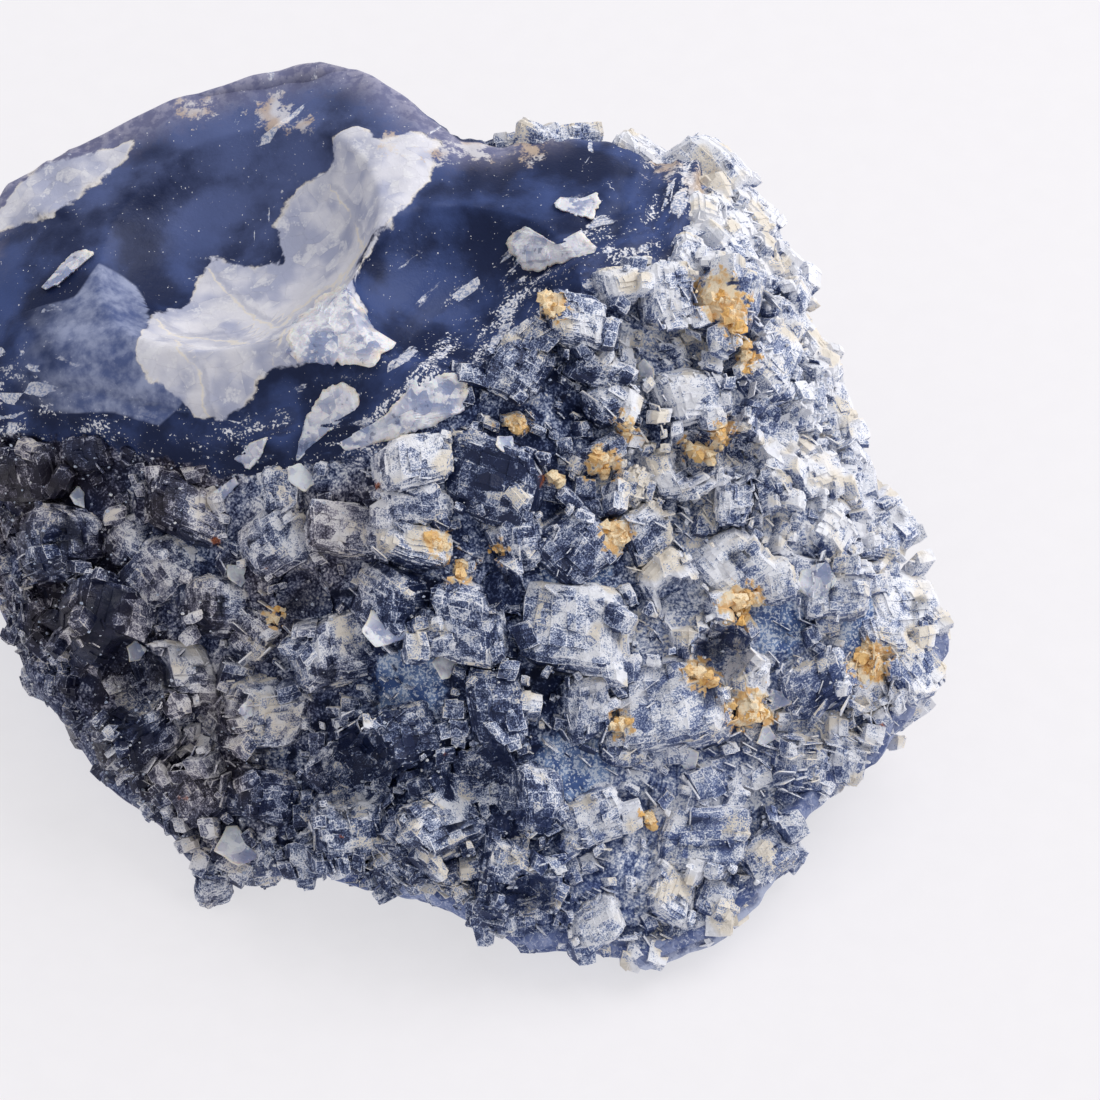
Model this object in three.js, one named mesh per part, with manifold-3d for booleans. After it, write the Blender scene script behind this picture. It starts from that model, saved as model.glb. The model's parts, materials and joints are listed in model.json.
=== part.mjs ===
// A rough piece of blue chalcedony that lies on its flat underside. Its top is a smooth break with two
// shell-shaped hollows, and its front, right side and right back carry a crust of blocky crystals.
// Millimetres, +Z up. The stone is drawn on a plane that leans back like a desk: a place has a distance
// across it (to the right), up it, and out of it (towards someone who looks down on the stone).

import * as THREE from "three";
import { mergeVertices } from "three/addons/utils/BufferGeometryUtils.js";
import Module from "manifold-3d";

const wasm = await Module();
wasm.setup();

// The drawing plane
const LEAN = THREE.MathUtils.degToRad(50); // how steeply a viewer looks down on the stone
const MIDDLE_HEIGHT = 14.7; // of the drawing's middle above the surface that the stone lies on
const CENTRE = [-1.5, 1.86]; // of the finished stone, left to right and front to back

// The outline, [across, up], from the right tip round by the top, the left and the foot
const OUTLINE = [
  [28.5, -0.3], [26.4, 1.4], [25.6, 4.4], [24.4, 6.6], [23.6, 8.3], [24.1, 10.0], [22.6, 13.4],
  [22.4, 16.4], [20.9, 18.7], [19.1, 20.2], [17.4, 23.0], [16.2, 24.2], [14.6, 24.1], [13.2, 23.5],
  [9.7, 24.6], [4.8, 25.0], [2.9, 24.4], [0.1, 24.7], [-1.9, 26.2], [-4.3, 28.1], [-6.8, 29.4],
  [-9.2, 30.0], [-13.5, 29.1], [-18.3, 27.7], [-24.1, 25.0], [-29.9, 21.9], [-31.8, 19.0],
  [-33.0, 14.5], [-33.3, 8.5], [-32.7, 2.5], [-31.4, -3.0], [-29.7, -7.5], [-28.4, -11.5],
  [-25.9, -13.6], [-23.2, -17.4], [-18.9, -20.3], [-16.5, -23.4], [-13.9, -23.3], [-9.0, -22.7],
  [-6.4, -23.7], [-2.5, -24.3], [2.5, -26.5], [4.5, -27.8], [7.9, -27.5], [12.2, -28.7],
  [16.3, -27.2], [19.2, -24.6], [21.1, -22.2], [21.7, -19.8], [24.4, -17.1], [27.2, -15.3],
  [30.3, -10.8], [31.7, -8.3], [30.9, -5.2], [28.6, -3.2],
];

// How far out of the plane the outline lies, [degrees round it, out]
const EDGE = [
  [-180, -8.0], [-160, -6.0], [-143, -1.5], [-125, 3.0], [-90, 6.0], [-67, 7.2], [-46, 5.0],
  [-31, 2.0], [-15, 0.0], [0, -1.5], [23, -4.0], [37, -5.5], [56, -6.0], [68, -4.5], [90, -4.5],
  [107, -8.5], [120, -9.5], [145, -11.0], [165, -7.5], [180, -8.0],
];

// Broken faces, [across, up, out] of a point on each, then its slopes across and up
const FRONT_FACES = [
  [9.0, -5.0, 7.5, -0.25, -0.02], // crystal face, front right
  [-0.6, -8.5, 9.9, 0.4, 0.1], // shaded face, front left
  [9.0, 14.0, 7.55, 0.0, -0.84], // top
  [-16.0, 18.2, -0.3, 0.39, -0.84], // top, falling to the left
  [19.8, 9.8, 4.5, -1.3, -0.6], // far right flank
];
const REAR_FACES = [
  [0.0, 0.0, -21.5, 0.0, -0.84], // just under the underside
  [0.0, 10.5, -28.0, 0.0, 0.62], // back, lower
  [0.0, 21.2, -21.4, 0.0, 1.9], // back, upper
  [-28.0, 0.0, -21.0, -2.6, 0.0], // left end
  [19.0, -8.2, -14.2, 1.1, 0.0], // under the right tip
  [15.0, 8.0, -27.8, 1.3, 1.3], // back right
  [0.0, -24.0, -1.0, 0.0, -1.7], // front foot
  [-20.0, -14.5, -8.9, -1.1, -1.1], // front left foot
];
const CREASE = 0.5; // how softly two faces meet
const RIM_POWER = 8; // how late the faces turn over to meet the outline

// Shell-shaped hollows that large flakes left, [across, up, out, radius] of the ball that fits each
const SCOOPS = [
  [-16.5, 23.2, 5.6, 12.5], // top left
  [0.2, 18.6, 11.0, 9.5], // top middle
  [-10.0, 35.5, -31.0, 22.0], // back
  [-46.5, 1.5, -7.5, 15.0], // left end
];

// Where the crystals end and the smooth top begins, [across, up]
const CRUST_LINE = [
  [-34, 6.0], [-24, 5.2], [-13.6, 2.6], [-4.5, 4.5], [2.0, 10.7], [5.9, 13.7], [9.0, 15.2],
  [14.0, 17.0], [16.0, 22.0], [17.5, 34.0], [40.0, 34.0],
];
const REAR_CRUST_FROM = 3; // behind, the crust covers what lies further across than this
const CRUST_SPAN = [62, 178]; // degrees of the outline that the crust leaves free
const CRUST_PROUD = 0.5; // how far its crystals stand out past the body
const FOOT = { from: 185, to: 352, near: 20 }; // the bare, thin edge: degrees round, and either side of it
const BARE_HEIGHT = 2.2; // no crystal grows nearer than this to the surface that the stone lies on

// Pale chips that lift off the break, [stand, then the corners as across, up]
const CHIPS = [
  [0.5, [-7.8, 16.8], [-11.0, 13.0], [-10.4, 10.3], [-6.2, 9.6], [-3.6, 11.0], [-6.6, 15.3]],
  [0.4, [-6.8, 8.6], [-8.8, 7.2], [-10.9, 5.9], [-10.6, 4.2], [-9.8, 3.5], [-8.1, 5.2], [-5.9, 7.7]],
  [0.4, [-7.2, 4.7], [-4.9, 4.6], [0.7, 7.8], [1.0, 9.2], [-1.3, 9.1], [-4.2, 7.2]],
  [0.4, [3.1, 18.2], [3.4, 16.8], [4.6, 15.9], [8.8, 17.2], [8.5, 18.5], [5.7, 17.9], [4.2, 18.7]],
  [0.9, [-6.0, -5.7], [-5.2, -8.8], [-3.8, -8.5], [-3.4, -7.2], [-3.9, -5.5], [-4.9, -5.3]],
];

// The largest crystals, [across, up, width, height, stand, turn, lean up, lean across]
const MAIN_BLOCKS = [
  [-2.9, 3.4, 4.0, 2.8, 1.6, 8, -14, 14], [2.2, 2.3, 5.4, 4.6, 1.3, -12, -8, -12],
  [-2.7, 0.9, 4.4, 2.2, 1.0, 5, 14, 8], [-3.1, -1.4, 4.4, 2.4, 1.2, -6, -12, 10],
  [0.8, -6.6, 3.3, 4.6, 1.7, 4, 6, -10], [-1.6, -7.2, 2.3, 2.5, 1.3, -8, -8, 12],
  [7.5, -7.0, 5.5, 5.0, 1.5, -2, -5, -6], [-7.8, -8.4, 5.0, 4.0, 1.6, 14, -12, 20],
  [-7.0, -0.8, 4.4, 2.6, 1.2, 6, -14, 12], [4.0, -1.2, 2.4, 3.4, 1.3, 10, 8, 14],
  [7.6, 12.5, 3.1, 2.8, 1.9, 3, -10, 12], [13.3, 14.3, 3.2, 4.0, 1.9, 2, -8, 12],
  [10.3, 14.9, 2.4, 2.2, 1.5, 6, -6, 10], [17.0, 13.7, 4.0, 4.6, 1.4, -20, -10, -14],
  [9.6, 7.4, 2.8, 2.4, 1.3, 38, -12, 10], [8.8, 9.5, 3.4, 2.0, 1.2, -34, 10, 14],
  [13.8, 3.0, 2.6, 3.2, 1.1, 24, 8, -12], [17.6, 1.5, 2.2, 3.4, 1.4, -6, 10, 12],
  [19.8, 2.2, 2.2, 2.8, 1.2, 18, -10, -12], [20.0, -3.9, 2.4, 2.4, 1.1, 8, 10, 10],
  [13.6, -11.7, 6.6, 5.4, 1.5, 9, -6, -4], [18.4, -10.3, 2.0, 3.0, 1.3, -10, 8, -14],
  [22.8, -10.8, 4.2, 3.0, 0.9, 12, -5, -8], [24.3, -4.6, 4.0, 3.6, 0.8, -8, -6, -10],
  [13.2, -4.0, 3.2, 3.0, 1.0, 30, 8, 8], [8.0, -12.0, 2.6, 4.0, 1.0, 6, 5, 14],
  [-12.5, -12.5, 4.2, 4.2, 1.5, -8, 10, 20], [-18.0, -10.0, 4.6, 4.0, 1.6, 12, -12, 22],
  [-22.5, -6.5, 5.0, 4.6, 1.8, -14, -10, 24], [-20.5, -14.0, 4.4, 3.6, 1.4, 16, 12, 20],
  [-15.5, -5.5, 4.0, 3.6, 1.4, 6, -14, 18], [-12.6, -17.5, 4.0, 3.4, 1.2, -6, 12, 14],
  [-4.0, -14.0, 5.0, 4.0, 1.7, 20, -16, 16], [-1.0, -19.5, 5.4, 4.6, 1.8, -16, -14, 16],
  [-6.8, -19.5, 4.4, 4.0, 1.4, 8, 10, 12], [4.0, -22.5, 4.6, 3.0, 1.0, -8, 12, 8],
  [-17.5, 0.6, 4.4, 3.2, 1.0, -10, -12, 14], [-25.5, -1.5, 4.2, 4.4, 1.3, 8, -8, 24],
  [8.5, -19.0, 4.0, 3.4, 0.8, 24, 6, 6], [15.5, -20.5, 4.6, 3.6, 0.7, -14, -5, -6],
];

// Cup-shaped hollows between the crystals, [across, up, radius, depth]
const CUPS = [
  [1.2, -16.9, 2.9, 2.0], [-6.5, -16.0, 2.6, 1.6], [-21.0, -10.2, 2.4, 2.2], [15.0, 3.9, 1.6, 1.5],
  [18.1, 4.0, 1.5, 1.4], [14.4, -5.4, 1.6, 1.6], [16.8, -8.5, 1.8, 1.5], [21.2, 6.2, 2.2, 1.2],
  [-10.0, -5.2, 1.9, 1.7], [-24.6, -11.2, 1.8, 1.6], [4.6, -23.9, 1.5, 1.2], [2.9, -4.6, 1.4, 1.3],
];

// The crystals between them: places tried, sizes, share of a size that stands proud, largest lean in
// degrees, flattest shape, and share of a size that is kept clear of the crystals already there
const SPREAD = { tries: 600, least: 2.4, most: 4.8, stand: 0.2, tilt: 17, flattest: 0.66, clear: 0.36 };

// Sequences that fill a range evenly, and the steps in which each crystal's features are read from them
const GOLDEN = 0.6180339887;
const PLASTIC = [0.7548776662, 0.569840291];
const TURN_STEP = GOLDEN * 7;
const LEAN_UP_STEP = GOLDEN * 3;
const LEAN_ACROSS_STEP = GOLDEN * 5;
const FLAT_STEP = PLASTIC[0] * 3;

const CHIP_ROOT = 1.5; // how far a chip's plate reaches into the stone
const CHIP_SPAN = 0.5; // either side of a chip's middle, over which the slope under it is measured

const SLICES = 48; // of the body's faceted surface, round the outline
const RINGS = 16; // from its front pole to its rear one
const SCOOP_FACET = 2.4; // a scoop's radius for each division of its ball
const CUP_DETAIL = 1; // divisions of a cup's ball
const SURFACE_STEP = 0.03; // radians, over which the slope of the surface is measured
const OFF_CORNER = 0.003; // degrees that keep a direction off a corner of the outline
const MERGE_WITHIN = 1e-5; // points nearer than this are one
const TABLE = { wide: 200, deep: 20 }; // the block under the stone that levels its underside

const QUARTER_TURN = 90; // degrees
const FULL_TURN = 360;

const ACROSS = new THREE.Vector3(1, 0, 0);
const UP = new THREE.Vector3(0, Math.sin(LEAN), Math.cos(LEAN));
const OUT = new THREE.Vector3(0, -Math.cos(LEAN), Math.sin(LEAN));

const fraction = (value) => value - Math.floor(value);

// The place in the stone's own frame of a place on the drawing plane
function place(across, up, out) {
  const point = new THREE.Vector3(0, 0, MIDDLE_HEIGHT);
  return point.addScaledVector(ACROSS, across).addScaledVector(UP, up).addScaledVector(OUT, out);
}

// A value read from a list of [key, value] with rising keys, straight between them
function between(list, key) {
  const after = Math.max(1, list.findIndex(([place]) => place >= key));
  const [[lowKey, low], [highKey, high]] = [list[after - 1], list[after]];
  return low + ((high - low) * (key - lowKey)) / (highKey - lowKey);
}

// How far from the drawing's middle the outline lies in one direction
function reach(angle) {
  const ray = [Math.cos(angle), Math.sin(angle)];
  for (let i = 0; i < OUTLINE.length; i += 1) {
    const from = OUTLINE[i];
    const to = OUTLINE[(i + 1) % OUTLINE.length];
    const side = [to[0] - from[0], to[1] - from[1]];
    const cross = ray[0] * side[1] - ray[1] * side[0];
    const along = (from[0] * side[1] - from[1] * side[0]) / cross;
    const share = (from[0] * ray[1] - from[1] * ray[0]) / cross;
    if (along > 0 && share >= 0 && share < 1) return along;
  }
  throw new Error("the outline has a gap");
}

const REACHES = Array.from({ length: FULL_TURN }, (_, i) => {
  const crust = i < CRUST_SPAN[0] || i > CRUST_SPAN[1];
  return reach(THREE.MathUtils.degToRad(i + OFF_CORNER)) - (crust ? CRUST_PROUD : 0);
});

// A direction in degrees, from 0 to 360
const wholeDegrees = (angle) => fraction(angle / (2 * Math.PI)) * FULL_TURN;

// The same distance, read from a list of one for each degree
function outlineRadius(angle) {
  const degrees = wholeDegrees(angle);
  const low = Math.floor(degrees) % FULL_TURN;
  const share = fraction(degrees);
  return REACHES[low] * (1 - share) + REACHES[(low + 1) % FULL_TURN] * share;
}

// How far out the lowest (side 1) or the highest (side -1) of the faces lies, with soft creases
function faceOut(faces, across, up, side) {
  let sum = 0;
  for (const [x, y, out, slopeX, slopeY] of faces) {
    sum += Math.exp((-side * (out + slopeX * (across - x) + slopeY * (up - y))) / CREASE);
  }
  return -side * CREASE * Math.log(sum);
}

const frontOut = (across, up) => faceOut(FRONT_FACES, across, up, 1);

// The front surface with the scoops taken out
function scoopedOut(across, up) {
  const floors = SCOOPS.map(([x, y, out, radius]) => {
    const inside = radius ** 2 - (across - x) ** 2 - (up - y) ** 2;
    return inside > 0 && out > 0 ? out - Math.sqrt(inside) : Infinity;
  });
  return Math.min(frontOut(across, up), ...floors);
}

// A direction in degrees, from -180 to 180
const signedDegrees = (angle) => wholeDegrees(angle + Math.PI) - FULL_TURN / 2;

// The drawn place of the body's surface: tip is 0 at the front pole, a quarter turn at the outline
// and a half turn at the rear pole, and angle goes round
function drawn(angle, tip) {
  const share = Math.sin(tip);
  const radius = outlineRadius(angle) * share;
  const across = radius * Math.cos(angle);
  const up = radius * Math.sin(angle);
  const edge = between(EDGE, signedDegrees(angle));
  const front = tip < Math.PI / 2;
  const face = front ? frontOut(across, up) : faceOut(REAR_FACES, across, up, -1);
  const turned = Math.sqrt(Math.max(0, 1 - share ** RIM_POWER));
  return [across, up, edge + (face - edge) * turned];
}

const surface = (angle, tip) => place(...drawn(angle, tip));

// The faceted body as a closed mesh
function bodyGeometry() {
  const points = [];
  const corners = [];
  for (let ring = 0; ring <= RINGS; ring += 1) {
    const tip = (Math.PI * ring) / RINGS;
    const count = ring === 0 || ring === RINGS ? 1 : SLICES;
    for (let slice = 0; slice < count; slice += 1) {
      points.push(...surface((2 * Math.PI * slice) / SLICES, tip).toArray());
    }
  }
  const index = (ring, slice) => {
    if (ring === 0) return 0;
    if (ring === RINGS) return (RINGS - 1) * SLICES + 1;
    return 1 + (ring - 1) * SLICES + (slice % SLICES);
  };
  for (let ring = 0; ring < RINGS; ring += 1) {
    for (let slice = 0; slice < SLICES; slice += 1) {
      const [a, b] = [index(ring, slice), index(ring, slice + 1)];
      const [c, d] = [index(ring + 1, slice), index(ring + 1, slice + 1)];
      if (ring > 0) corners.push(a, c, b);
      if (ring < RINGS - 1) corners.push(b, c, d);
    }
  }
  const geometry = new THREE.BufferGeometry();
  geometry.setAttribute("position", new THREE.Float32BufferAttribute(points, 3));
  geometry.setIndex(corners);
  return geometry;
}

// A closed mesh as a solid
function toSolid(geometry) {
  geometry.deleteAttribute("normal");
  geometry.deleteAttribute("uv");
  const merged = mergeVertices(geometry, MERGE_WITHIN);
  const vertProperties = new Float32Array(merged.attributes.position.array);
  const triVerts = new Uint32Array(merged.index.array);
  return new wasm.Manifold(new wasm.Mesh({ numProp: 3, vertProperties, triVerts }));
}

function toGeometry(solid) {
  const { vertProperties, triVerts } = solid.getMesh();
  const geometry = new THREE.BufferGeometry();
  geometry.setAttribute("position", new THREE.BufferAttribute(vertProperties, 3));
  geometry.setIndex(new THREE.BufferAttribute(triVerts, 1));
  return geometry;
}

// The largest connected shell of a mesh, without the gaps that neighbouring crystals close in
function outerShell(geometry) {
  const corners = geometry.index.array;
  const group = Array.from({ length: geometry.attributes.position.count }, (_, i) => i);
  const root = (i) => {
    while (group[i] !== i) {
      group[i] = group[group[i]];
      i = group[i];
    }
    return i;
  };
  for (let i = 0; i < corners.length; i += 3) {
    group[root(corners[i])] = root(corners[i + 1]);
    group[root(corners[i + 2])] = root(corners[i + 1]);
  }
  const counts = new Map();
  for (const corner of corners) {
    const shell = root(corner);
    counts.set(shell, (counts.get(shell) ?? 0) + 1);
  }
  const [largest] = [...counts].reduce((best, entry) => (entry[1] > best[1] ? entry : best));
  geometry.setIndex(Array.from(corners).filter((corner) => root(corner) === largest));
  return mergeVertices(geometry, MERGE_WITHIN);
}

// Whether a crystal can grow at a place on the surface
function crusted(angle, tip) {
  const [across, up, out] = drawn(angle, tip);
  const degrees = wholeDegrees(angle);
  const fromRim = Math.abs(THREE.MathUtils.radToDeg(tip) - QUARTER_TURN);
  if (degrees > FOOT.from && degrees < FOOT.to && fromRim < FOOT.near) return false;
  if (place(across, up, out).z < BARE_HEIGHT) return false;
  return tip < Math.PI / 2 ? up < between(CRUST_LINE, across) : across > REAR_CRUST_FROM;
}

// One crystal: a box on its own place and turn
function crystal(size, spot, turn) {
  const box = new THREE.BoxGeometry(size.x, size.y, size.z);
  box.applyQuaternion(turn);
  box.translate(spot.x, spot.y, spot.z);
  return toSolid(box);
}

const drawingTurn = new THREE.Quaternion().setFromRotationMatrix(
  new THREE.Matrix4().makeBasis(ACROSS, UP, OUT),
);

// A turn about the outward direction, then leans about the up and across directions, in degrees
function tilted(base, turn, leanUp, leanAcross) {
  const [x, y, z] = [leanUp, leanAcross, turn].map(THREE.MathUtils.degToRad);
  return base.clone().multiply(new THREE.Quaternion().setFromEuler(new THREE.Euler(x, y, z, "XYZ")));
}

function mainCrystals() {
  return MAIN_BLOCKS.map(([across, up, width, height, stand, ...turns]) => {
    const deep = Math.min(width, height);
    const spot = place(across, up, frontOut(across, up) + stand - deep / 2);
    const size = new THREE.Vector3(width, height, deep);
    return crystal(size, spot, tilted(drawingTurn, ...turns));
  });
}

// The outward turn of the surface at one place
function surfaceTurn(angle, tip) {
  const along = surface(angle, tip + SURFACE_STEP).sub(surface(angle, tip - SURFACE_STEP));
  const round = surface(angle + SURFACE_STEP, tip).sub(surface(angle - SURFACE_STEP, tip));
  const normal = along.cross(round).normalize();
  const side = new THREE.Vector3().crossVectors(UP, normal).normalize();
  const rise = new THREE.Vector3().crossVectors(normal, side);
  return new THREE.Quaternion().setFromRotationMatrix(new THREE.Matrix4().makeBasis(side, rise, normal));
}

// The i-th of the crystals that fill the crust, with its size across and its turn
function spreadCrystal(i, size, angle, tip) {
  const lean = (step) => (2 * fraction(i * step) - 1) * SPREAD.tilt;
  const base = surfaceTurn(angle, tip);
  const spin = QUARTER_TURN * fraction(i * TURN_STEP);
  const turn = tilted(base, spin, lean(LEAN_UP_STEP), lean(LEAN_ACROSS_STEP));
  const flat = SPREAD.flattest + (1 - SPREAD.flattest) * fraction(i * FLAT_STEP);
  const inward = new THREE.Vector3(0, 0, size * (SPREAD.stand - 0.5)).applyQuaternion(turn);
  return crystal(new THREE.Vector3(size, size * flat, size), surface(angle, tip).add(inward), turn);
}

// The crystals that fill the crust between the main ones
function spreadCrystals() {
  const placed = MAIN_BLOCKS.map(([across, up, width, height]) => {
    const mean = (width + height) / 2;
    return [place(across, up, frontOut(across, up)), mean / 2];
  });
  const found = [];
  for (let i = 1; i <= SPREAD.tries; i += 1) {
    const angle = 2 * Math.PI * fraction(i * PLASTIC[0]);
    const tip = Math.acos(1 - 2 * fraction(i * PLASTIC[1]));
    const size = SPREAD.least + (SPREAD.most - SPREAD.least) * fraction(i * GOLDEN);
    const spot = surface(angle, tip);
    const margin = size * SPREAD.clear;
    const free = placed.every(([other, half]) => other.distanceTo(spot) > half + margin);
    if (crusted(angle, tip) && free) {
      placed.push([spot, size / 2]);
      found.push(spreadCrystal(i, size, angle, tip));
    }
  }
  return found;
}

// A chip: its outline as a thin plate that lies along the face under its middle
function chipSolid([stand, ...corners]) {
  const mean = (axis) => corners.reduce((sum, corner) => sum + corner[axis], 0) / corners.length;
  const middle = [mean(0), mean(1)];
  const slopes = [[CHIP_SPAN, 0], [0, CHIP_SPAN]].map(([x, y]) => {
    const beyond = scoopedOut(middle[0] + x, middle[1] + y);
    const before = scoopedOut(middle[0] - x, middle[1] - y);
    return (beyond - before) / (2 * CHIP_SPAN);
  });
  const plate = new THREE.ExtrudeGeometry(
    new THREE.Shape(corners.map(([x, y]) => new THREE.Vector2(x, y))),
    { depth: CHIP_ROOT + stand, bevelEnabled: false },
  );
  const points = plate.attributes.position;
  for (let i = 0; i < points.count; i += 1) {
    const [x, y, deep] = [points.getX(i), points.getY(i), points.getZ(i)];
    const out = scoopedOut(...middle) + slopes[0] * (x - middle[0]) + slopes[1] * (y - middle[1]);
    points.setXYZ(i, ...place(x, y, out - CHIP_ROOT + deep).toArray());
  }
  return toSolid(plate);
}

function cupSolids() {
  return CUPS.map(([across, up, radius, depth]) => {
    const ball = new THREE.IcosahedronGeometry(radius, CUP_DETAIL);
    const spot = place(across, up, frontOut(across, up) + radius - depth);
    ball.translate(spot.x, spot.y, spot.z);
    return toSolid(ball);
  });
}

function scoopSolids() {
  return SCOOPS.map(([across, up, out, radius]) => {
    const ball = new THREE.IcosahedronGeometry(radius, Math.round(radius / SCOOP_FACET));
    ball.translate(...place(across, up, out).toArray());
    return toSolid(ball);
  });
}

function stoneGeometry() {
  let solid = toSolid(bodyGeometry());
  for (const scoop of scoopSolids()) solid = solid.subtract(scoop);
  for (const block of [...mainCrystals(), ...spreadCrystals()]) solid = solid.add(block);
  for (const chip of CHIPS.map(chipSolid)) solid = solid.add(chip);
  for (const cup of cupSolids()) solid = solid.subtract(cup);
  const table = new THREE.BoxGeometry(TABLE.wide, TABLE.wide, TABLE.deep);
  table.translate(0, 0, -TABLE.deep / 2);
  const geometry = outerShell(toGeometry(solid.subtract(toSolid(table))));
  geometry.translate(-CENTRE[0], -CENTRE[1], 0);
  return geometry;
}

const chalcedony = new THREE.MeshStandardMaterial({ color: 0x3b4a78, roughness: 0.5, metalness: 0 });
const stone = new THREE.Mesh(stoneGeometry(), chalcedony);
stone.name = "stone";

const group = new THREE.Group();
group.add(stone);

export default group;
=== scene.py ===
# %% [markdown]
# # A rough piece of blue chalcedony
#
# The real thing is one natural stone that fits in a hand. Its top broke along smooth, shell-shaped
# hollows that show glassy navy inside. Its front and right side kept the crust it grew in a cavity: blocks
# built of thin layers, dusted with pale grains, with ochre crumbs in the corners. This lesson dresses the
# plain solid of the stone, piece by piece, with surfaces worked out in numpy.

# %% Load the plain stone
import json

import bpy
import numpy as np
from mathutils import Matrix, Vector

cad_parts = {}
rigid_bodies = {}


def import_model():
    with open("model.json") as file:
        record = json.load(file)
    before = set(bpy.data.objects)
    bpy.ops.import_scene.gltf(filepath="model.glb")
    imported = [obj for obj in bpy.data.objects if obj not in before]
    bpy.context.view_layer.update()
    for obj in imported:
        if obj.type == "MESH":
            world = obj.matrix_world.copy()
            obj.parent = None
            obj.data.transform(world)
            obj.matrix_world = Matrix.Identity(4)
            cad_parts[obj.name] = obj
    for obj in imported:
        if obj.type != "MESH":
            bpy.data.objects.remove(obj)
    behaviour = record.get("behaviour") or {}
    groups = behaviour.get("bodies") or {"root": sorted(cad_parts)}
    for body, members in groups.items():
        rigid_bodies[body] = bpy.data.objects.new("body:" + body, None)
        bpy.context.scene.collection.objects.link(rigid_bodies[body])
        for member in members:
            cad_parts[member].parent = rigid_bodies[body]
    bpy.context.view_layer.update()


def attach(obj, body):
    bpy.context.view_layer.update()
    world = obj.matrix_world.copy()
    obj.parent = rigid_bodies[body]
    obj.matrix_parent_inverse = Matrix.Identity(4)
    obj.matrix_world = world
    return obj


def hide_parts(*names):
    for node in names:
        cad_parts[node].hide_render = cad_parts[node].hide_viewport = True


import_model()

# %% [markdown]
# ## The drawing plane
#
# The stone is drawn as somebody looking down on it sees it: a place has a distance across, a distance up
# and a distance out towards the viewer. One turn about the left-to-right line and one shift bring such a
# place into the stone's own frame. Working in the viewer's plane makes it easy to put a hollow or a chip
# where it is seen. All lengths are millimetres until a mesh is made.

# %% The drawing plane
LEAN = np.radians(50)
MIDDLE_HEIGHT = 14.7
CENTRE = np.array([-1.5, 1.86, 0.0])
ACROSS = np.array([1, 0, 0])
UP = np.array([0, np.sin(LEAN), np.cos(LEAN)])
OUT = np.array([0, -np.cos(LEAN), np.sin(LEAN)])
AXES = np.array([ACROSS, UP, OUT])
MM = 0.001


def place(drawn):
    """Stone-frame millimetres of drawn places: the middle, plus each distance along its own axis."""
    return drawn @ AXES + [0, 0, MIDDLE_HEIGHT] - CENTRE


def to_drawn(points):
    """The way back: the distances of stone-frame points along the three drawing axes."""
    return (points + CENTRE - [0, 0, MIDDLE_HEIGHT]) @ AXES.T


print("drawing middle, mm:", place(np.zeros(3)).round(2))

# %% [markdown]
# ## Even chance
#
# A stone is irregular, yet a lesson should give the same stone each time. So no random numbers are used:
# a sine of the counted place, multiplied until only its last digits matter, scatters values evenly. The
# same values at the corners of a lattice, blended smoothly between them, give a rolling noise.

# %% Scattered values and noise
GOLDEN = 0.6180339887
PLASTIC = (0.7548776662, 0.569840291)
SCATTER = np.array([12.9898, 78.233, 37.719])


def fraction(value):
    """What is left above the whole number below."""
    return value - np.floor(value)


def scatter(*counts):
    """A value from 0 to 1 for each set of counts: the last digits of a sine of their weighted sum."""
    mixed = sum(count * weight for count, weight in zip(counts, SCATTER))
    return fraction(np.abs(np.sin(mixed + 1.7)) * 43758.5453)


def noise(points, size):
    """Noise from -1 to 1 with lumps of a size: scattered lattice values, blended by eased shares."""
    scaled = points / size
    low = np.floor(scaled)
    share = scaled - low
    share = share * share * (3 - 2 * share)
    total = 0
    for corner in np.ndindex(2, 2, 2):
        weight = np.where(corner, share, 1 - share).prod(-1)
        cell = low + corner
        total = total + weight * scatter(cell[..., 0], cell[..., 1], cell[..., 2])
    return 2 * total - 1


def wobble(points, size):
    """A noise for each of the three directions, read at far-apart places."""
    return np.stack([noise(points + shift, size) for shift in (0, 91.7, 183.1)], -1)


print("noise sample:", noise(np.array([[1.2, 3.4, 5.6]]), 2.0).round(3))

# %% [markdown]
# ## The stone's own surface
#
# The plain stone follows an outline with broken faces in front of it and behind it. The same outline and
# faces are used here, so that the dressed stone and the plain one are the same size. A place on the
# surface has two parameters: the angle round the middle, and the tip, which is nought at the front pole,
# a quarter turn at the outline and a half turn at the rear pole.

# %% Outline and broken faces
OUTLINE = np.array([
    [28.5, -0.3], [26.4, 1.4], [25.6, 4.4], [24.4, 6.6], [23.6, 8.3], [24.1, 10.0], [22.6, 13.4],
    [22.4, 16.4], [20.9, 18.7], [19.1, 20.2], [17.4, 23.0], [16.2, 24.2], [14.6, 24.1], [13.2, 23.5],
    [9.7, 24.6], [4.8, 25.0], [2.9, 24.4], [0.1, 24.7], [-1.9, 26.2], [-4.3, 28.1], [-6.8, 29.4],
    [-9.2, 30.0], [-13.5, 29.1], [-18.3, 27.7], [-24.1, 25.0], [-29.9, 21.9], [-31.8, 19.0],
    [-33.0, 14.5], [-33.3, 8.5], [-32.7, 2.5], [-31.4, -3.0], [-29.7, -7.5], [-28.4, -11.5],
    [-25.9, -13.6], [-23.2, -17.4], [-18.9, -20.3], [-16.5, -23.4], [-13.9, -23.3], [-9.0, -22.7],
    [-6.4, -23.7], [-2.5, -24.3], [2.5, -26.5], [4.5, -27.8], [7.9, -27.5], [12.2, -28.7],
    [16.3, -27.2], [19.2, -24.6], [21.1, -22.2], [21.7, -19.8], [24.4, -17.1], [27.2, -15.3],
    [30.3, -10.8], [31.7, -8.3], [30.9, -5.2], [28.6, -3.2],
])
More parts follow.
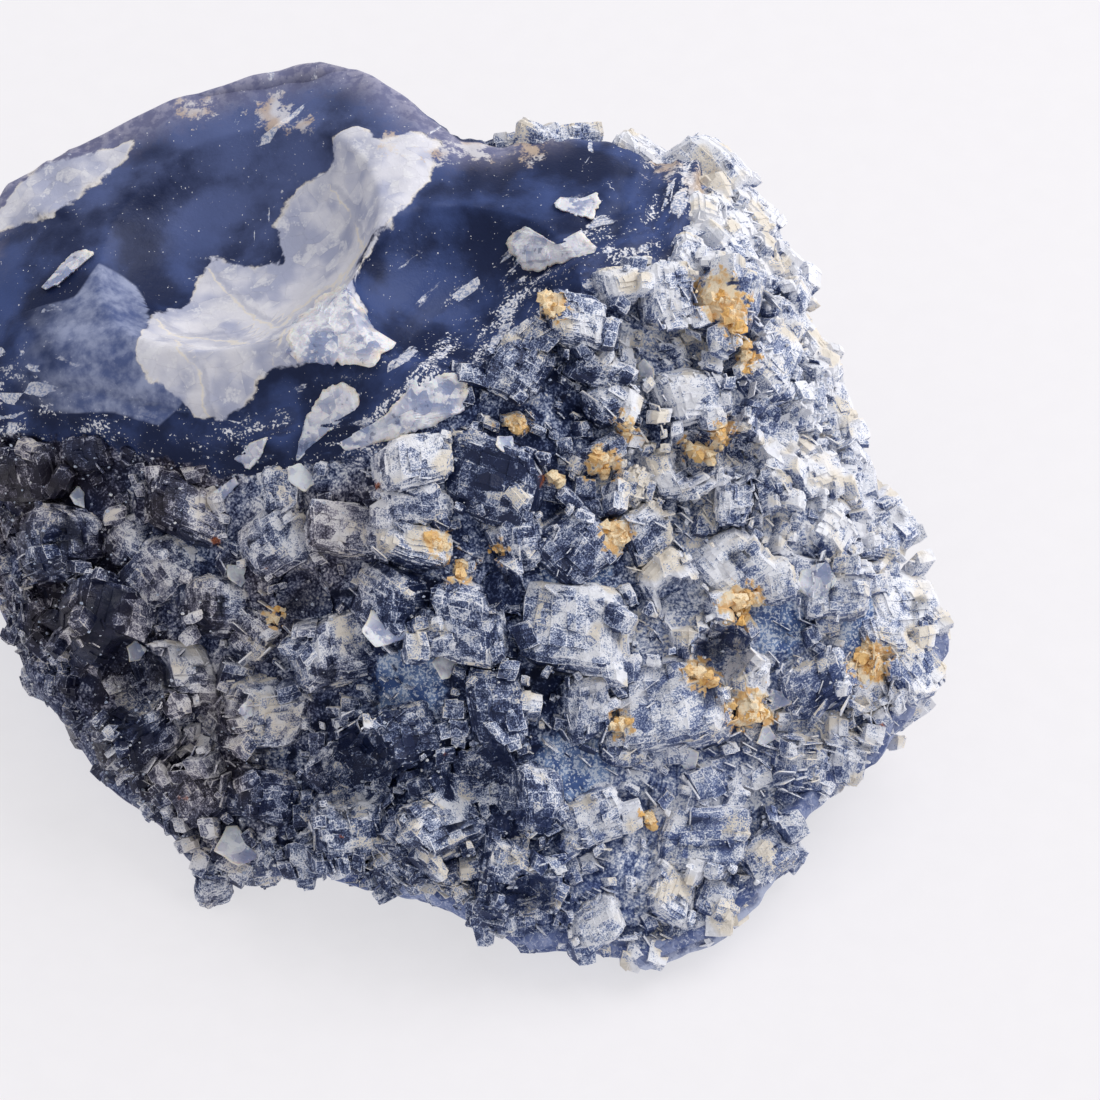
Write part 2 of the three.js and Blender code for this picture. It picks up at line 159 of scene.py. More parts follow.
EDGE = np.array([
    [-180, -8.0], [-160, -6.0], [-143, -1.5], [-125, 3.0], [-90, 6.0], [-67, 7.2], [-46, 5.0],
    [-31, 2.0], [-15, 0.0], [0, -1.5], [23, -4.0], [37, -5.5], [56, -6.0], [68, -4.5], [90, -4.5],
    [107, -8.5], [120, -9.5], [145, -11.0], [165, -7.5], [180, -8.0],
])
FRONT_FACES = np.array([
    [9.0, -5.0, 7.5, -0.25, -0.02],
    [-0.6, -8.5, 9.9, 0.4, 0.1],
    [9.0, 14.0, 7.55, 0.0, -0.84],
    [-16.0, 18.2, -0.3, 0.39, -0.84],
    [19.8, 9.8, 4.5, -1.3, -0.6],
])
REAR_FACES = np.array([
    [0.0, 0.0, -21.5, 0.0, -0.84],
    [0.0, 10.5, -28.0, 0.0, 0.62],
    [0.0, 21.2, -21.4, 0.0, 1.9],
    [-28.0, 0.0, -21.0, -2.6, 0.0],
    [19.0, -8.2, -14.2, 1.1, 0.0],
    [15.0, 8.0, -27.8, 1.3, 1.3],
    [0.0, -24.0, -1.0, 0.0, -1.7],
    [-20.0, -14.5, -8.9, -1.1, -1.1],
])
print(len(OUTLINE), "corners,", len(FRONT_FACES), "faces in front and", len(REAR_FACES), "behind")

# %% [markdown]
# Where a ray from the middle crosses the outline is worked out once for each whole degree and read
# between. Where crystals stand out past the body, the body's own reach is half a millimetre less. From
# the rim the surface rises steeply and then follows the lowest of the front faces, or the highest of the
# rear ones. The creases between faces are eased a little, as broken edges are.

# %% From the outline to the surface
CREASE = 0.5
RIM_POWER = 8
CRUST_SPAN = (62, 178)
CRUST_PROUD = 0.5
OFF_CORNER = 0.003


def reach(angle, outline):
    """Where a ray from the middle crosses an outline: the first side whose share lies from 0 to 1."""
    ray = np.stack([np.cos(angle), np.sin(angle)], -1)[:, None]
    side = np.roll(outline, -1, 0) - outline
    crossed = ray[..., 0] * side[:, 1] - ray[..., 1] * side[:, 0]
    along = (outline[:, 0] * side[:, 1] - outline[:, 1] * side[:, 0]) / crossed
    share = (outline[:, 0] * ray[..., 1] - outline[:, 1] * ray[..., 0]) / crossed
    first = np.argmax((along > 0) & (share >= 0) & (share < 1), 1)
    return along[np.arange(len(angle)), first]


degrees_round = np.arange(360)
in_crust = (degrees_round < CRUST_SPAN[0]) | (degrees_round > CRUST_SPAN[1])
REACHES = reach(np.radians(degrees_round + OFF_CORNER), OUTLINE) - CRUST_PROUD * in_crust


def whole_degrees(angle):
    """An angle in degrees from 0 to 360."""
    return fraction(angle / (2 * np.pi)) * 360


def outline_radius(angle):
    """Distance of the outline, read straight between the values for whole degrees."""
    return np.interp(whole_degrees(angle), np.arange(361), np.append(REACHES, REACHES[0]))


def face_out(faces, across, up, side):
    """The lowest (side 1) or highest (side -1) of sloping faces, as a soft minimum or maximum."""
    slopes = faces[:, 3] * (across[..., None] - faces[:, 0]) + faces[:, 4] * (up[..., None] - faces[:, 1])
    heights = faces[:, 2] + slopes
    return -side * CREASE * np.log(np.exp(-side * heights / CREASE).sum(-1))


def drawn_surface(angle, tip):
    """Drawn place of the surface: outline radius times sin(tip), and a face that falls to the rim."""
    share = np.sin(tip)
    radius = outline_radius(angle) * share
    across = radius * np.cos(angle)
    up = radius * np.sin(angle)
    rim = np.interp(whole_degrees(angle + np.pi) - 180, EDGE[:, 0], EDGE[:, 1])
    front = face_out(FRONT_FACES, across, up, 1)
    rear = face_out(REAR_FACES, across, up, -1)
    face = np.where(tip < np.pi / 2, front, rear)
    out = rim + (face - rim) * np.sqrt(np.maximum(0, 1 - share ** RIM_POWER))
    return np.stack([across, up, out], -1)


print("outline reach, mm:", REACHES.min().round(1), "to", REACHES.max().round(1))

# %% [markdown]
# ## Hollows
#
# Flakes left shell-shaped scoops in the top, and the crust has cup-shaped pits. Each is a ball pressed
# into the stone. A point of the body inside a ball moves straight out from the ball's middle onto its
# surface, which needs no cutting of meshes. Crystals that reach over a cup are cut back to its inner wall
# further down, so that nothing hangs over it.

# %% Scoops and cups
SCOOPS = np.array([
    [-16.5, 23.2, 5.6, 12.5],
    [0.2, 18.6, 11.0, 9.5],
    [-10.0, 35.5, -31.0, 22.0],
    [-46.5, 1.5, -7.5, 15.0],
])
CUPS = np.array([
    [1.2, -16.9, 2.9, 2.0], [-6.5, -16.0, 2.6, 1.6], [-21.0, -10.2, 2.4, 2.2], [15.0, 3.9, 1.6, 1.5],
    [18.1, 4.0, 1.5, 1.4], [14.4, -5.4, 1.6, 1.6], [16.8, -8.5, 1.8, 1.5], [21.2, 6.2, 2.2, 1.2],
    [-10.0, -5.2, 1.9, 1.7], [-24.6, -11.2, 1.8, 1.6], [4.6, -23.9, 1.5, 1.2], [2.9, -4.6, 1.4, 1.3],
])


def front_out(across, up):
    """How far out the broken front faces lie, before they fall to the rim."""
    return face_out(FRONT_FACES, np.asarray(across, float), np.asarray(up, float), 1)


cup_out = front_out(CUPS[:, 0], CUPS[:, 1]) + CUPS[:, 2] - CUPS[:, 3]
CUP_BALLS = np.column_stack([CUPS[:, :2], cup_out, CUPS[:, 2]])


def pressed(drawn, balls):
    """Drawn points that lie inside a ball, moved straight out from its middle onto its surface."""
    for *middle, radius in balls:
        away = drawn - middle
        distance = np.linalg.norm(away, axis=-1, keepdims=True)
        stretched = middle + away * (radius / np.maximum(distance, 1e-6))
        drawn = np.where(distance < radius, stretched, drawn)
    return drawn


print(len(SCOOPS), "scoops and", len(CUPS), "cups")

# %% [markdown]
# ## Where the crust ends
#
# The border between the smooth break and the crust is a line drawn across the top. The signed distance to
# it, positive on the smooth side, steers both shape and colour, and the distance along it gives streaks
# their direction. The same kind of signed distance, taken to a closed outline, tells how deep a place
# lies inside a pale patch.

# %% Border line and signed distances
CRUST_LINE = np.array([
    [-34, 6.0], [-24, 5.2], [-13.6, 2.6], [-4.5, 4.5], [2.0, 10.7], [5.9, 13.7], [9.0, 15.2],
    [14.0, 17.0], [16.0, 22.0], [17.5, 34.0], [40.0, 34.0],
])
REAR_CRUST_FROM = 3


def side_distances(across, up, corners, closed):
    """Distance to each side of a line, and the share along that side at which it is nearest."""
    ends = np.roll(corners, -1, 0) if closed else corners[1:]
    starts = corners if closed else corners[:-1]
    side = ends - starts
    from_start = np.stack([across, up], -1)[:, None] - starts
    share = np.clip((from_start * side).sum(-1) / (side ** 2).sum(-1), 0, 1)
    return np.linalg.norm(from_start - side * share[..., None], axis=-1), share


def inside(across, up, corners):
    """Whether points lie inside a closed outline: a ray to the right crosses it an odd number of times."""
    ends = np.roll(corners, -1, 0)
    spans = (corners[:, 1] > up[:, None]) != (ends[:, 1] > up[:, None])
    rise = np.where(ends[:, 1] == corners[:, 1], 1, ends[:, 1] - corners[:, 1])
    crossing = corners[:, 0] + (up[:, None] - corners[:, 1]) * (ends[:, 0] - corners[:, 0]) / rise
    return (spans & (across[:, None] < crossing)).sum(1) % 2 == 1


def depth_inside(across, up, corners):
    """Signed distance to a closed outline, positive inside."""
    nearest = side_distances(across, up, corners, True)[0].min(1)
    return np.where(inside(across, up, corners), nearest, -nearest)


def beyond_crust(across, up):
    """Signed distance to the border line, positive on the smooth side, and the distance along it."""
    distances, shares = side_distances(across, up, CRUST_LINE, False)
    lengths = np.linalg.norm(np.diff(CRUST_LINE, axis=0), axis=1)
    nearest = distances.argmin(1)
    rows = np.arange(len(across))
    along = (np.cumsum(lengths) - lengths)[nearest] + shares[rows, nearest] * lengths[nearest]
    above = up > np.interp(across, CRUST_LINE[:, 0], CRUST_LINE[:, 1])
    return np.where(above, 1, -1) * distances[rows, nearest], along


print("border line length, mm:", np.linalg.norm(np.diff(CRUST_LINE, axis=0), axis=1).sum().round(1))

# %% [markdown]
# ## The largest crystals
#
# These are the blocks that somebody sees from a step away. The plain stone has nearly the same ones, but
# one of them, at the foot, is larger there. Each row gives a block's place, width and height, how far it
# stands out, its turn and how it leans to two sides.

# %% Places of the largest crystals
MAIN_BLOCKS = np.array([
    [-2.9, 3.4, 4.0, 2.8, 1.6, 8, -14, 14], [2.2, 2.3, 5.4, 4.6, 1.3, -12, -8, -12],
    [-2.7, 0.9, 4.4, 2.2, 1.0, 5, 14, 8], [-3.1, -1.4, 4.4, 2.4, 1.2, -6, -12, 10],
    [0.8, -6.6, 3.3, 4.6, 1.7, 4, 6, -10], [-1.6, -7.2, 2.3, 2.5, 1.3, -8, -8, 12],
    [7.5, -7.0, 5.5, 5.0, 1.5, -2, -5, -6], [-7.8, -8.4, 5.0, 4.0, 1.6, 14, -12, 20],
    [-7.0, -0.8, 4.4, 2.6, 1.2, 6, -14, 12], [4.0, -1.2, 2.4, 3.4, 1.3, 10, 8, 14],
    [7.6, 12.5, 3.1, 2.8, 1.9, 3, -10, 12], [13.3, 14.3, 3.2, 4.0, 1.9, 2, -8, 12],
    [10.3, 14.9, 2.4, 2.2, 1.5, 6, -6, 10], [17.0, 13.7, 4.0, 4.6, 1.4, -20, -10, -14],
    [9.6, 7.4, 2.8, 2.4, 1.3, 38, -12, 10], [8.8, 9.5, 3.4, 2.0, 1.2, -34, 10, 14],
    [13.8, 3.0, 2.6, 3.2, 1.1, 24, 8, -12], [17.6, 1.5, 2.2, 3.4, 1.4, -6, 10, 12],
    [19.8, 2.2, 2.2, 2.8, 1.2, 18, -10, -12], [20.0, -3.9, 2.4, 2.4, 1.1, 8, 10, 10],
    [13.6, -11.7, 6.6, 5.4, 1.5, 9, -6, -4], [18.4, -10.3, 2.0, 3.0, 1.3, -10, 8, -14],
    [22.8, -10.8, 4.2, 3.0, 0.9, 12, -5, -8], [24.3, -4.6, 4.0, 3.6, 0.8, -8, -6, -10],
    [13.2, -4.0, 3.2, 3.0, 1.0, 30, 8, 8], [8.0, -12.0, 2.6, 4.0, 1.0, 6, 5, 14],
    [-12.5, -12.5, 4.2, 4.2, 1.5, -8, 10, 20], [-18.0, -10.0, 4.6, 4.0, 1.6, 12, -12, 22],
    [-22.5, -6.5, 5.0, 4.6, 1.8, -14, -10, 24], [-20.5, -14.0, 4.4, 3.6, 1.4, 16, 12, 20],
    [-15.5, -5.5, 4.0, 3.6, 1.4, 6, -14, 18], [-12.6, -17.5, 4.0, 3.4, 1.2, -6, 12, 14],
    [-4.0, -14.0, 5.0, 4.0, 1.7, 20, -16, 16], [-1.0, -19.5, 4.4, 3.6, 1.3, 34, -14, 16],
    [-6.8, -19.5, 4.4, 4.0, 1.4, 8, 10, 12], [4.0, -22.5, 4.6, 3.0, 1.0, -8, 12, 8],
    [-17.5, 0.6, 4.4, 3.2, 1.0, -10, -12, 14], [-25.5, -1.5, 4.2, 4.4, 1.3, 8, -8, 24],
    [8.5, -19.0, 4.0, 3.4, 0.8, 24, 6, 6], [15.5, -20.5, 4.6, 3.6, 0.7, -14, -5, -6],
])
main_spots = place(np.column_stack([MAIN_BLOCKS[:, :2], front_out(*MAIN_BLOCKS[:, :2].T)]))
print(len(MAIN_BLOCKS), "main blocks, mm:", main_spots.min(0).round(1), main_spots.max(0).round(1))

# %% [markdown]
# A crystal is set down with three directions of its own. They start from the drawing's directions, or
# from the slope of the surface under it, and are then turned by a few degrees. The slope needs no formula
# of its own: two places a small step apart give each direction along the surface, and crossing the two
# gives the way out of it. The leans are scattered evenly too, so no two crystals stand quite alike.

# %% Directions on the surface
SLOPE_STEP = 0.03


def turned(base, degrees):
    """A base with a turn about each of its own axes: across, then up, then out."""
    x, y, z = np.radians(np.moveaxis(np.asarray(degrees, float), -1, 0))
    cos_x, sin_x, cos_y, sin_y, cos_z, sin_z = (f(a) for a in (x, y, z) for f in (np.cos, np.sin))
    none = np.zeros_like(x)
    one = none + 1

    def matrix(*entries):
        return np.stack(entries, -1).reshape(x.shape + (3, 3))

    about_x = matrix(one, none, none, none, cos_x, -sin_x, none, sin_x, cos_x)
    about_y = matrix(cos_y, none, sin_y, none, one, none, -sin_y, none, cos_y)
    about_z = matrix(cos_z, -sin_z, none, sin_z, cos_z, none, none, none, one)
    return base @ about_x @ about_y @ about_z


def surface_axes(angle, tip):
    """Sideways, rising and outward directions of the surface, as columns: from two small differences."""
    along = place(drawn_surface(angle, tip + SLOPE_STEP)) - place(drawn_surface(angle, tip - SLOPE_STEP))
    round_it = place(drawn_surface(angle + SLOPE_STEP, tip)) - place(drawn_surface(angle - SLOPE_STEP, tip))
    outward = np.cross(along, round_it)
    outward /= np.linalg.norm(outward, axis=-1, keepdims=True)
    sideways = np.cross(UP, outward)
    sideways /= np.linalg.norm(sideways, axis=-1, keepdims=True)
    return np.stack([sideways, np.cross(outward, sideways), outward], -1)


def chance_leans(steps, most):
    """Leans in degrees about two or three axes: scattered evenly from minus the most to the most."""
    weights = GOLDEN * np.array([3, 5, 7])[:len(most)]
    return (2 * fraction(np.outer(steps, weights)) - 1) * most


way_out = surface_axes(np.zeros(1), np.full(1, 0.5))[0, :, 2]
print("way out of the front:", way_out.round(2))

# %% [markdown]
# Crystals grow on the front below the border line and on the right behind. They leave a bare foot along
# the lower rim and a bare strip above the floor. On the left the crust is lumpier and darker, and the
# bare foot is narrower there. That side is a smooth share from nought to one, as it has no sharp border.

# %% Where crystals grow
FOOT_SPAN = (185, 352)
FOOT_NEAR = 14
BARE_HEIGHT = 2.2
SHADE_SLANT = 0.25
SHADE_FROM, SHADE_FULL = 2, 9
SHADE_NARROWS = 0.6


def eased(value, low, high):
    """Nought below low, one above high, and a smooth rise between them."""
    share = np.clip((value - low) / (high - low), 0, 1)
    return share * share * (3 - 2 * share)


def shaded_side(drawn):
    """One left of a slanting line, where the crust is lumpy and dark, and nought on its right."""
    return eased(SHADE_SLANT * drawn[..., 1] - drawn[..., 0], SHADE_FROM, SHADE_FULL)


def crusted(angle, tip, drawn, near=FOOT_NEAR):
    """Where crystals grow: under the border line in front, to the right behind, not low, not on the foot.

    The foot is a span of angles, within a number of degrees of the rim, and narrower in the shade.
    """
    degrees = whole_degrees(angle)
    near_rim = np.abs(np.degrees(tip) - 90) < near * (1 - SHADE_NARROWS * shaded_side(drawn))
    foot = (degrees > FOOT_SPAN[0]) & (degrees < FOOT_SPAN[1]) & near_rim
    low = place(drawn)[:, 2] < BARE_HEIGHT
    front = drawn[:, 1] < np.interp(drawn[:, 0], CRUST_LINE[:, 0], CRUST_LINE[:, 1])
    return ~foot & ~low & np.where(tip < np.pi / 2, front, drawn[:, 0] > REAR_CRUST_FROM)


def spread_places(count):
    """Places all over the surface: two steady sequences, the second laid out evenly over a ball."""
    steps = np.arange(1, count + 1)
    return steps, 2 * np.pi * fraction(steps * PLASTIC[0]), np.arccos(1 - 2 * fraction(steps * PLASTIC[1]))


_, *tested = spread_places(500)
print("share of the surface with crystals:", crusted(*tested, drawn_surface(*tested)).mean().round(2))

# %% [markdown]
# The places between the main blocks are filled by a sequence that spreads evenly, and a new block is kept
# only where it is clear of the earlier ones. Every block is a sixth larger than in the plain stone, so
# that neighbours grow into each other. Near the rim on the left the spread ones are smaller and lie
# deeper, because the real stone has no corners that stand out there.

# %% Large blocks between the main ones
TRIES = 600
LEAST, MOST = 2.4, 4.8
STAND = 0.2
TILT = 17
FLATTEST = 0.66
CLEAR = 0.36
INTERGROWN = 1.16
RIM_WIDE = 3
SUNK_AT_RIM = 0.28
SMALLER_AT_RIM = 0.5

main_deep = MAIN_BLOCKS[:, 2:4].min(1)
main_middles = main_spots + OUT * (MAIN_BLOCKS[:, 4] - main_deep / 2)[:, None]
main_axes = turned(AXES.T, MAIN_BLOCKS[:, [6, 7, 5]])
main_halves = np.column_stack([MAIN_BLOCKS[:, 2:4], main_deep]) / 2

steps, angles, tips = spread_places(TRIES)
spots_drawn = drawn_surface(angles, tips)
spots = place(spots_drawn)
sizes = LEAST + (MOST - LEAST) * fraction(steps * GOLDEN)
taken = list(main_spots)
taken_half = list(MAIN_BLOCKS[:, 2:4].mean(1) / 2)
kept = []
for row in np.flatnonzero(crusted(angles, tips, spots_drawn)):
    gaps = np.linalg.norm(np.array(taken) - spots[row], axis=1)
    if (gaps > np.array(taken_half) + sizes[row] * CLEAR).all():
        taken.append(spots[row])
        taken_half.append(sizes[row] / 2)
        kept.append(row)

steps, angles, tips, sizes = steps[kept], angles[kept], tips[kept], sizes[kept]
leans = chance_leans(steps, [TILT, TILT])
turns = np.column_stack([leans, 90 * fraction(steps * GOLDEN * 7)])
spread_axes = turned(surface_axes(angles, tips), turns)
flatness = FLATTEST + (1 - FLATTEST) * fraction(steps * PLASTIC[0] * 3)
to_rim = depth_inside(*spots_drawn[kept, :2].T, OUTLINE)
at_rim = eased(-to_rim, -RIM_WIDE, 0) * shaded_side(spots_drawn[kept])
stands = sizes * (STAND - 0.5 - SUNK_AT_RIM * at_rim)
spread_middles = spots[kept] + spread_axes[:, :, 2] * stands[:, None]
smaller = 1 - SMALLER_AT_RIM * at_rim
spread_halves = np.column_stack([sizes, sizes * flatness, sizes]) / 2 * smaller[:, None]
block_middles = np.concatenate([main_middles, spread_middles])
block_axes = np.concatenate([main_axes, spread_axes])
block_halves = np.concatenate([main_halves, spread_halves]) * INTERGROWN
print(len(main_middles), "main blocks and", len(kept), "between them")

# %% [markdown]
# ## Two kinds of grid
#
# Every shape below is one of two grids. The pillow is two square grids joined at their rim: each square
# is squeezed into a disc, so it has no pole to close, and it makes the stone, chips and crumbs. The block
# is a lattice on the skin of a cube, whose lines can be moved. Its lines come in close pairs, so that the
# field between two pairs can shift as one plate and leave a crisp step.

# %% Pillow and block grids
def pillow_grid(count):
    """Angle and tip of each point of a front and a rear grid with one rim, and the quads that join them.

    A square point at a distance of max(|x|, |y|) keeps it as its share of the tip. Its angle is a
    quarter turn for each side, in proportion along the side.
    """
    line = np.linspace(-1, 1, count + 1)
    x, y = (grid.ravel() for grid in np.meshgrid(line, line, indexing="ij"))
    share = np.maximum(np.abs(x), np.abs(y))
    wide = np.abs(x) >= np.abs(y)
    ratio = np.where(wide, y, x) / np.where(share == 0, 1, np.where(wide, x, y))
    turn = np.where(wide, np.pi / 4 * ratio, np.pi / 2 - np.pi / 4 * ratio)
    angle = turn + np.pi * (np.where(wide, x, y) < 0)
    rim = share == 1
    front_number = np.arange(len(x))
    rear_number = np.where(rim, front_number, len(x) + np.cumsum(~rim) - 1)
    corner = front_number.reshape(count + 1, count + 1)
    ring = [corner[:-1, :-1], corner[1:, :-1], corner[1:, 1:], corner[:-1, 1:]]
    quads = np.stack(ring, -1).reshape(-1, 4)
    quads = np.concatenate([quads, rear_number[quads][:, ::-1]])
    tip = np.pi / 2 * share
    return np.append(angle, angle[~rim]), np.append(tip, np.pi - tip[~rim]), quads


def block_grid(lines):
    """Lattice places of a cube's skin, its quads, and each quad's axis, end and lower lattice place."""
    index = np.stack(np.meshgrid(*[np.arange(lines)] * 3, indexing="ij"), -1).reshape(-1, 3)
    skin = ((index == 0) | (index == lines - 1)).any(1)
    number = np.cumsum(skin) - 1
    quads, sides = [], []
    low = np.stack(np.meshgrid(*[np.arange(lines - 1)] * 2, indexing="ij"), -1).reshape(-1, 2)
    for axis in range(3):
        for end in (0, lines - 1):
            ring = [(0, 0), (1, 0), (1, 1), (0, 1)] if end else [(0, 0), (0, 1), (1, 1), (1, 0)]
            spots = np.empty((len(low), 4, 3), int)
            spots[..., axis] = end
            for turn, (first, second) in enumerate(ring):
                spots[:, turn, (axis + 1) % 3] = low[:, 0] + first
                spots[:, turn, (axis + 2) % 3] = low[:, 1] + second
            quads.append(number[spots @ [lines * lines, lines, 1]])
            sides.append(np.column_stack([np.full(len(low), axis), np.full(len(low), bool(end)), low]))
    return index[skin], np.concatenate(quads), np.concatenate(sides)


print("a block of 12 lines:", len(block_grid(12)[1]), "quads; a pillow of 3:", len(pillow_grid(3)[2]))

# %% [markdown]
# ## From arrays to a mesh
#
# Blender takes whole arrays of points and corners at once. Numbers that steer the finish, such as how
# deep a point lies in a hollow, go with the points, and the distances to a plate's edges go with the
# corners as flat maps. The piece then rides on the stone's body and takes its finish slot.

# %% Mesh maker
pieces = []


def set_down(name, data):
    """A new object with its data, linked into the scene."""
    thing = bpy.data.objects.new(name, data)
    bpy.context.scene.collection.objects.link(thing)
    return thing


def make_piece(name, points, quads, numbers, finish, maps=(), smooth=False):
    """A mesh object from stone-frame millimetres, with a number for each point and maps for each corner."""
    mesh = bpy.data.meshes.new(name)
    mesh.vertices.add(len(points))
    mesh.vertices.foreach_set("co", (points * MM).astype(np.float32).ravel())
    mesh.loops.add(quads.size)
    mesh.loops.foreach_set("vertex_index", quads.astype(np.int32).ravel())
    mesh.polygons.add(len(quads))
    mesh.polygons.foreach_set("loop_start", np.arange(0, quads.size, 4, dtype=np.int32))
    mesh.update(calc_edges=True)
    mesh.polygons.foreach_set("use_smooth", np.full(len(quads), smooth))
    for key, values in numbers.items():
        layer = mesh.attributes.new(key, "FLOAT", "POINT")
        layer.data.foreach_set("value", np.broadcast_to(values, len(points)).astype(np.float32))
    for key, pairs in dict(maps).items():
        layer = mesh.attributes.new(key, "FLOAT2", "CORNER")
        layer.data.foreach_set("vector", pairs.astype(np.float32).ravel())
    mesh.materials.append(finish)
    piece = set_down(name, mesh)
    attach(piece, "root")
    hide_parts("stone")
    pieces.append(piece)
    print(name, len(points), "points,", 2 * len(quads), "triangles")


def outward(points, quads):
    """Outward direction of each point: the sum of its quads' diagonals crossed, made one long."""
    crossed = np.cross(points[quads[:, 2]] - points[quads[:, 0]], points[quads[:, 3]] - points[quads[:, 1]])
    total = np.zeros_like(points)
    for turn in range(4):
        np.add.at(total, quads[:, turn], crossed)
    return total / np.maximum(np.linalg.norm(total, axis=1, keepdims=True), 1e-12)


print("pieces made so far:", len(pieces))

# %% [markdown]
# ## Pale sheets, marks and crumbs in the photo's places
#
# Thin pale sheets lie over the dark break like frost on a window, chips lift off it, and ochre clay sits
# in corners of the crust. Each is a short outline or a round site, drawn where it is seen. The sheets and
# marks are colour on the stone, and the chips and crumbs get a shape of their own further down.

# %% Outlines and sites
SHEETS = [
    [[-16.6, 17.4], [-15.0, 16.8], [-13.3, 16.4], [-11.7, 16.9], [-12.2, 18.7], [-10.7, 21.3], [-8.6, 23.1],
     [-8.3, 25.0], [-6.5, 25.6], [-4.9, 24.7], [-3.3, 25.5], [-1.3, 24.7], [-1.6, 22.8], [-2.6, 21.3],
     [-3.4, 20.0], [-4.7, 18.5], [-5.5, 17.4], [-6.2, 16.4], [-6.4, 14.6], [-5.4, 12.4], [-6.2, 10.2],
     [-10.4, 9.6], [-12.7, 9.1], [-13.3, 7.5], [-14.6, 6.2], [-16.9, 6.5], [-18.2, 7.9], [-19.6, 9.1],
     [-20.8, 10.4], [-20.5, 11.7], [-20.0, 13.3], [-18.7, 13.8], [-17.6, 14.0], [-16.9, 15.6]],
    [[-32.0, 18.5], [-29.9, 20.8], [-29.3, 21.8], [-27.3, 23.4], [-24.1, 24.2], [-21.5, 24.6],
     [-21.6, 23.7], [-23.1, 22.4], [-24.4, 21.5], [-26.0, 20.0], [-28.0, 19.4]],
]
SEAMS = [
    [[-3.9, 19.8], [-6.0, 17.4], [-7.5, 15.6], [-10.7, 13.3], [-11.7, 10.1]],
    [[-16.9, 17.2], [-15.9, 15.3], [-13.6, 13.0], [-11.4, 12.2], [-8.5, 13.8], [-7.5, 15.6]],
    [[-8.1, 21.3], [-6.8, 19.5], [-6.0, 17.4]],
    [[-23.9, 16.4], [-22.1, 15.3], [-20.8, 14.0], [-18.7, 11.7], [-13.3, 11.2]],
    [[-18.7, 11.7], [-16.5, 9.4], [-16.0, 6.6]],
]
VEIL = [
    [-31.0, 8.0], [-31.0, 13.0], [-25.0, 14.6], [-23.4, 16.8], [-22.0, 16.0], [-21.0, 15.3], [-20.2, 14.0],
    [-19.8, 12.4], [-18.2, 10.2], [-17.4, 7.5], [-19.0, 5.9], [-22.0, 6.8], [-26.0, 6.8],
]
VEIL_LEFT = -29.0
CREAM_SITES = np.array([
    [-17.0, 26.8, 1.2], [-12.2, 26.6, 1.5], [-10.4, 25.8, 1.0], [1.0, 24.3, 1.4], [4.5, 24.2, 1.2],
    [-18.2, 27.0, 0.8], [-4.5, 24.5, 1.0], [-1.5, 23.8, 1.2], [15.5, 21.5, 1.6], [13.5, 23.0, 1.2],
])
OCHRE_SITES = np.array([
    [16.7, 14.2, 1.7], [17.6, 12.6, 1.0], [6.0, 13.6, 1.0], [3.6, 6.0, 0.9], [9.1, 3.6, 1.2],
    [10.8, 5.9, 0.8], [15.3, 4.4, 1.0], [16.8, 5.5, 0.9], [-1.3, -1.4, 1.0], [0.1, -3.4, 0.9],
    [2.5, -2.0, 0.6],
    [10.1, -1.0, 1.1], [18.2, -5.5, 1.5], [15.4, -9.9, 1.1], [18.7, -12.4, 1.6], [26.3, -9.1, 1.5],
    [10.4, -13.0, 0.8], [-11.5, -6.0, 0.8], [6.2, 2.6, 0.5], [18.5, 10.5, 0.8], [12.0, -19.0, 0.6],
])
RUST_SITES = np.array([
    [5.5, 2.4, 0.5], [-1.6, 2.0, 0.35], [-5.1, 2.1, 0.3], [27.2, -13.3, 0.3], [-0.7, -15.1, 0.35],
    [-7.3, -20.0, 0.35], [-17.7, -17.9, 0.4], [15.1, -16.9, 0.3], [-15.5, -1.4, 0.35], [-12.0, -3.0, 0.3],
])
SUGAR_SITES = np.array([
    [7.4, -3.1, 2.3], [-3.2, -10.4, 2.4], [7.5, -15.3, 2.4], [20.6, -7.0, 1.8], [27.0, -7.0, 2.4],
])
print(len(SHEETS), "sheets,", len(OCHRE_SITES), "ochre sites")

# %% [markdown]
# What steers the colour at a place is its distance to these outlines, lines and sites. A seam also needs
# to know on which side of it a place lies, because its shadow falls on one side only. Marks are drawn for
# the front alone, so points behind get a distance that is out of reach of them all.

# %% Distances to the marks
OUT_OF_SIGHT = -9.0


def deepest_inside(across, up, outlines):
    """Depth inside the nearest of several outlines, in mm, negative outside them all."""
    return np.max([depth_inside(across, up, np.array(corners)) for corners in outlines], 0)


def nearest_site(across, up, sites):
    """How far a point lies within the nearest round site: its radius less the distance."""
    gaps = np.hypot(across[:, None] - sites[:, 0], up[:, None] - sites[:, 1])
    return (sites[:, 2] - gaps).max(1)


def from_seams(across, up):
    """Distance to the nearest cream seam, in mm."""
    return np.min([side_distances(across, up, np.array(line), False)[0].min(1) for line in SEAMS], 0)


def seam_side(across, up):
    """Signed distance to the nearest cream seam: its sign tells on which side of the seam a point lies."""
    signed = []
    for corners in SEAMS:
        line = np.array(corners)
        distances = side_distances(across, up, line, False)[0]
        nearest = distances.argmin(1)
        side = np.diff(line, axis=0)[nearest]
        crossed = side[:, 0] * (up - line[nearest, 1]) - side[:, 1] * (across - line[nearest, 0])
        signed.append(np.where(crossed > 0, 1, -1) * distances.min(1))
    signed = np.array(signed)
    return signed[np.abs(signed).argmin(0), np.arange(len(across))]


def veil_strength(across, up):
    """How strong the cloudy veil is: it starts sharply at its outline and fades slowly to the left."""
    return np.minimum(5 * depth_inside(across, up, np.array(VEIL)), 0.18 * (across - VEIL_LEFT))


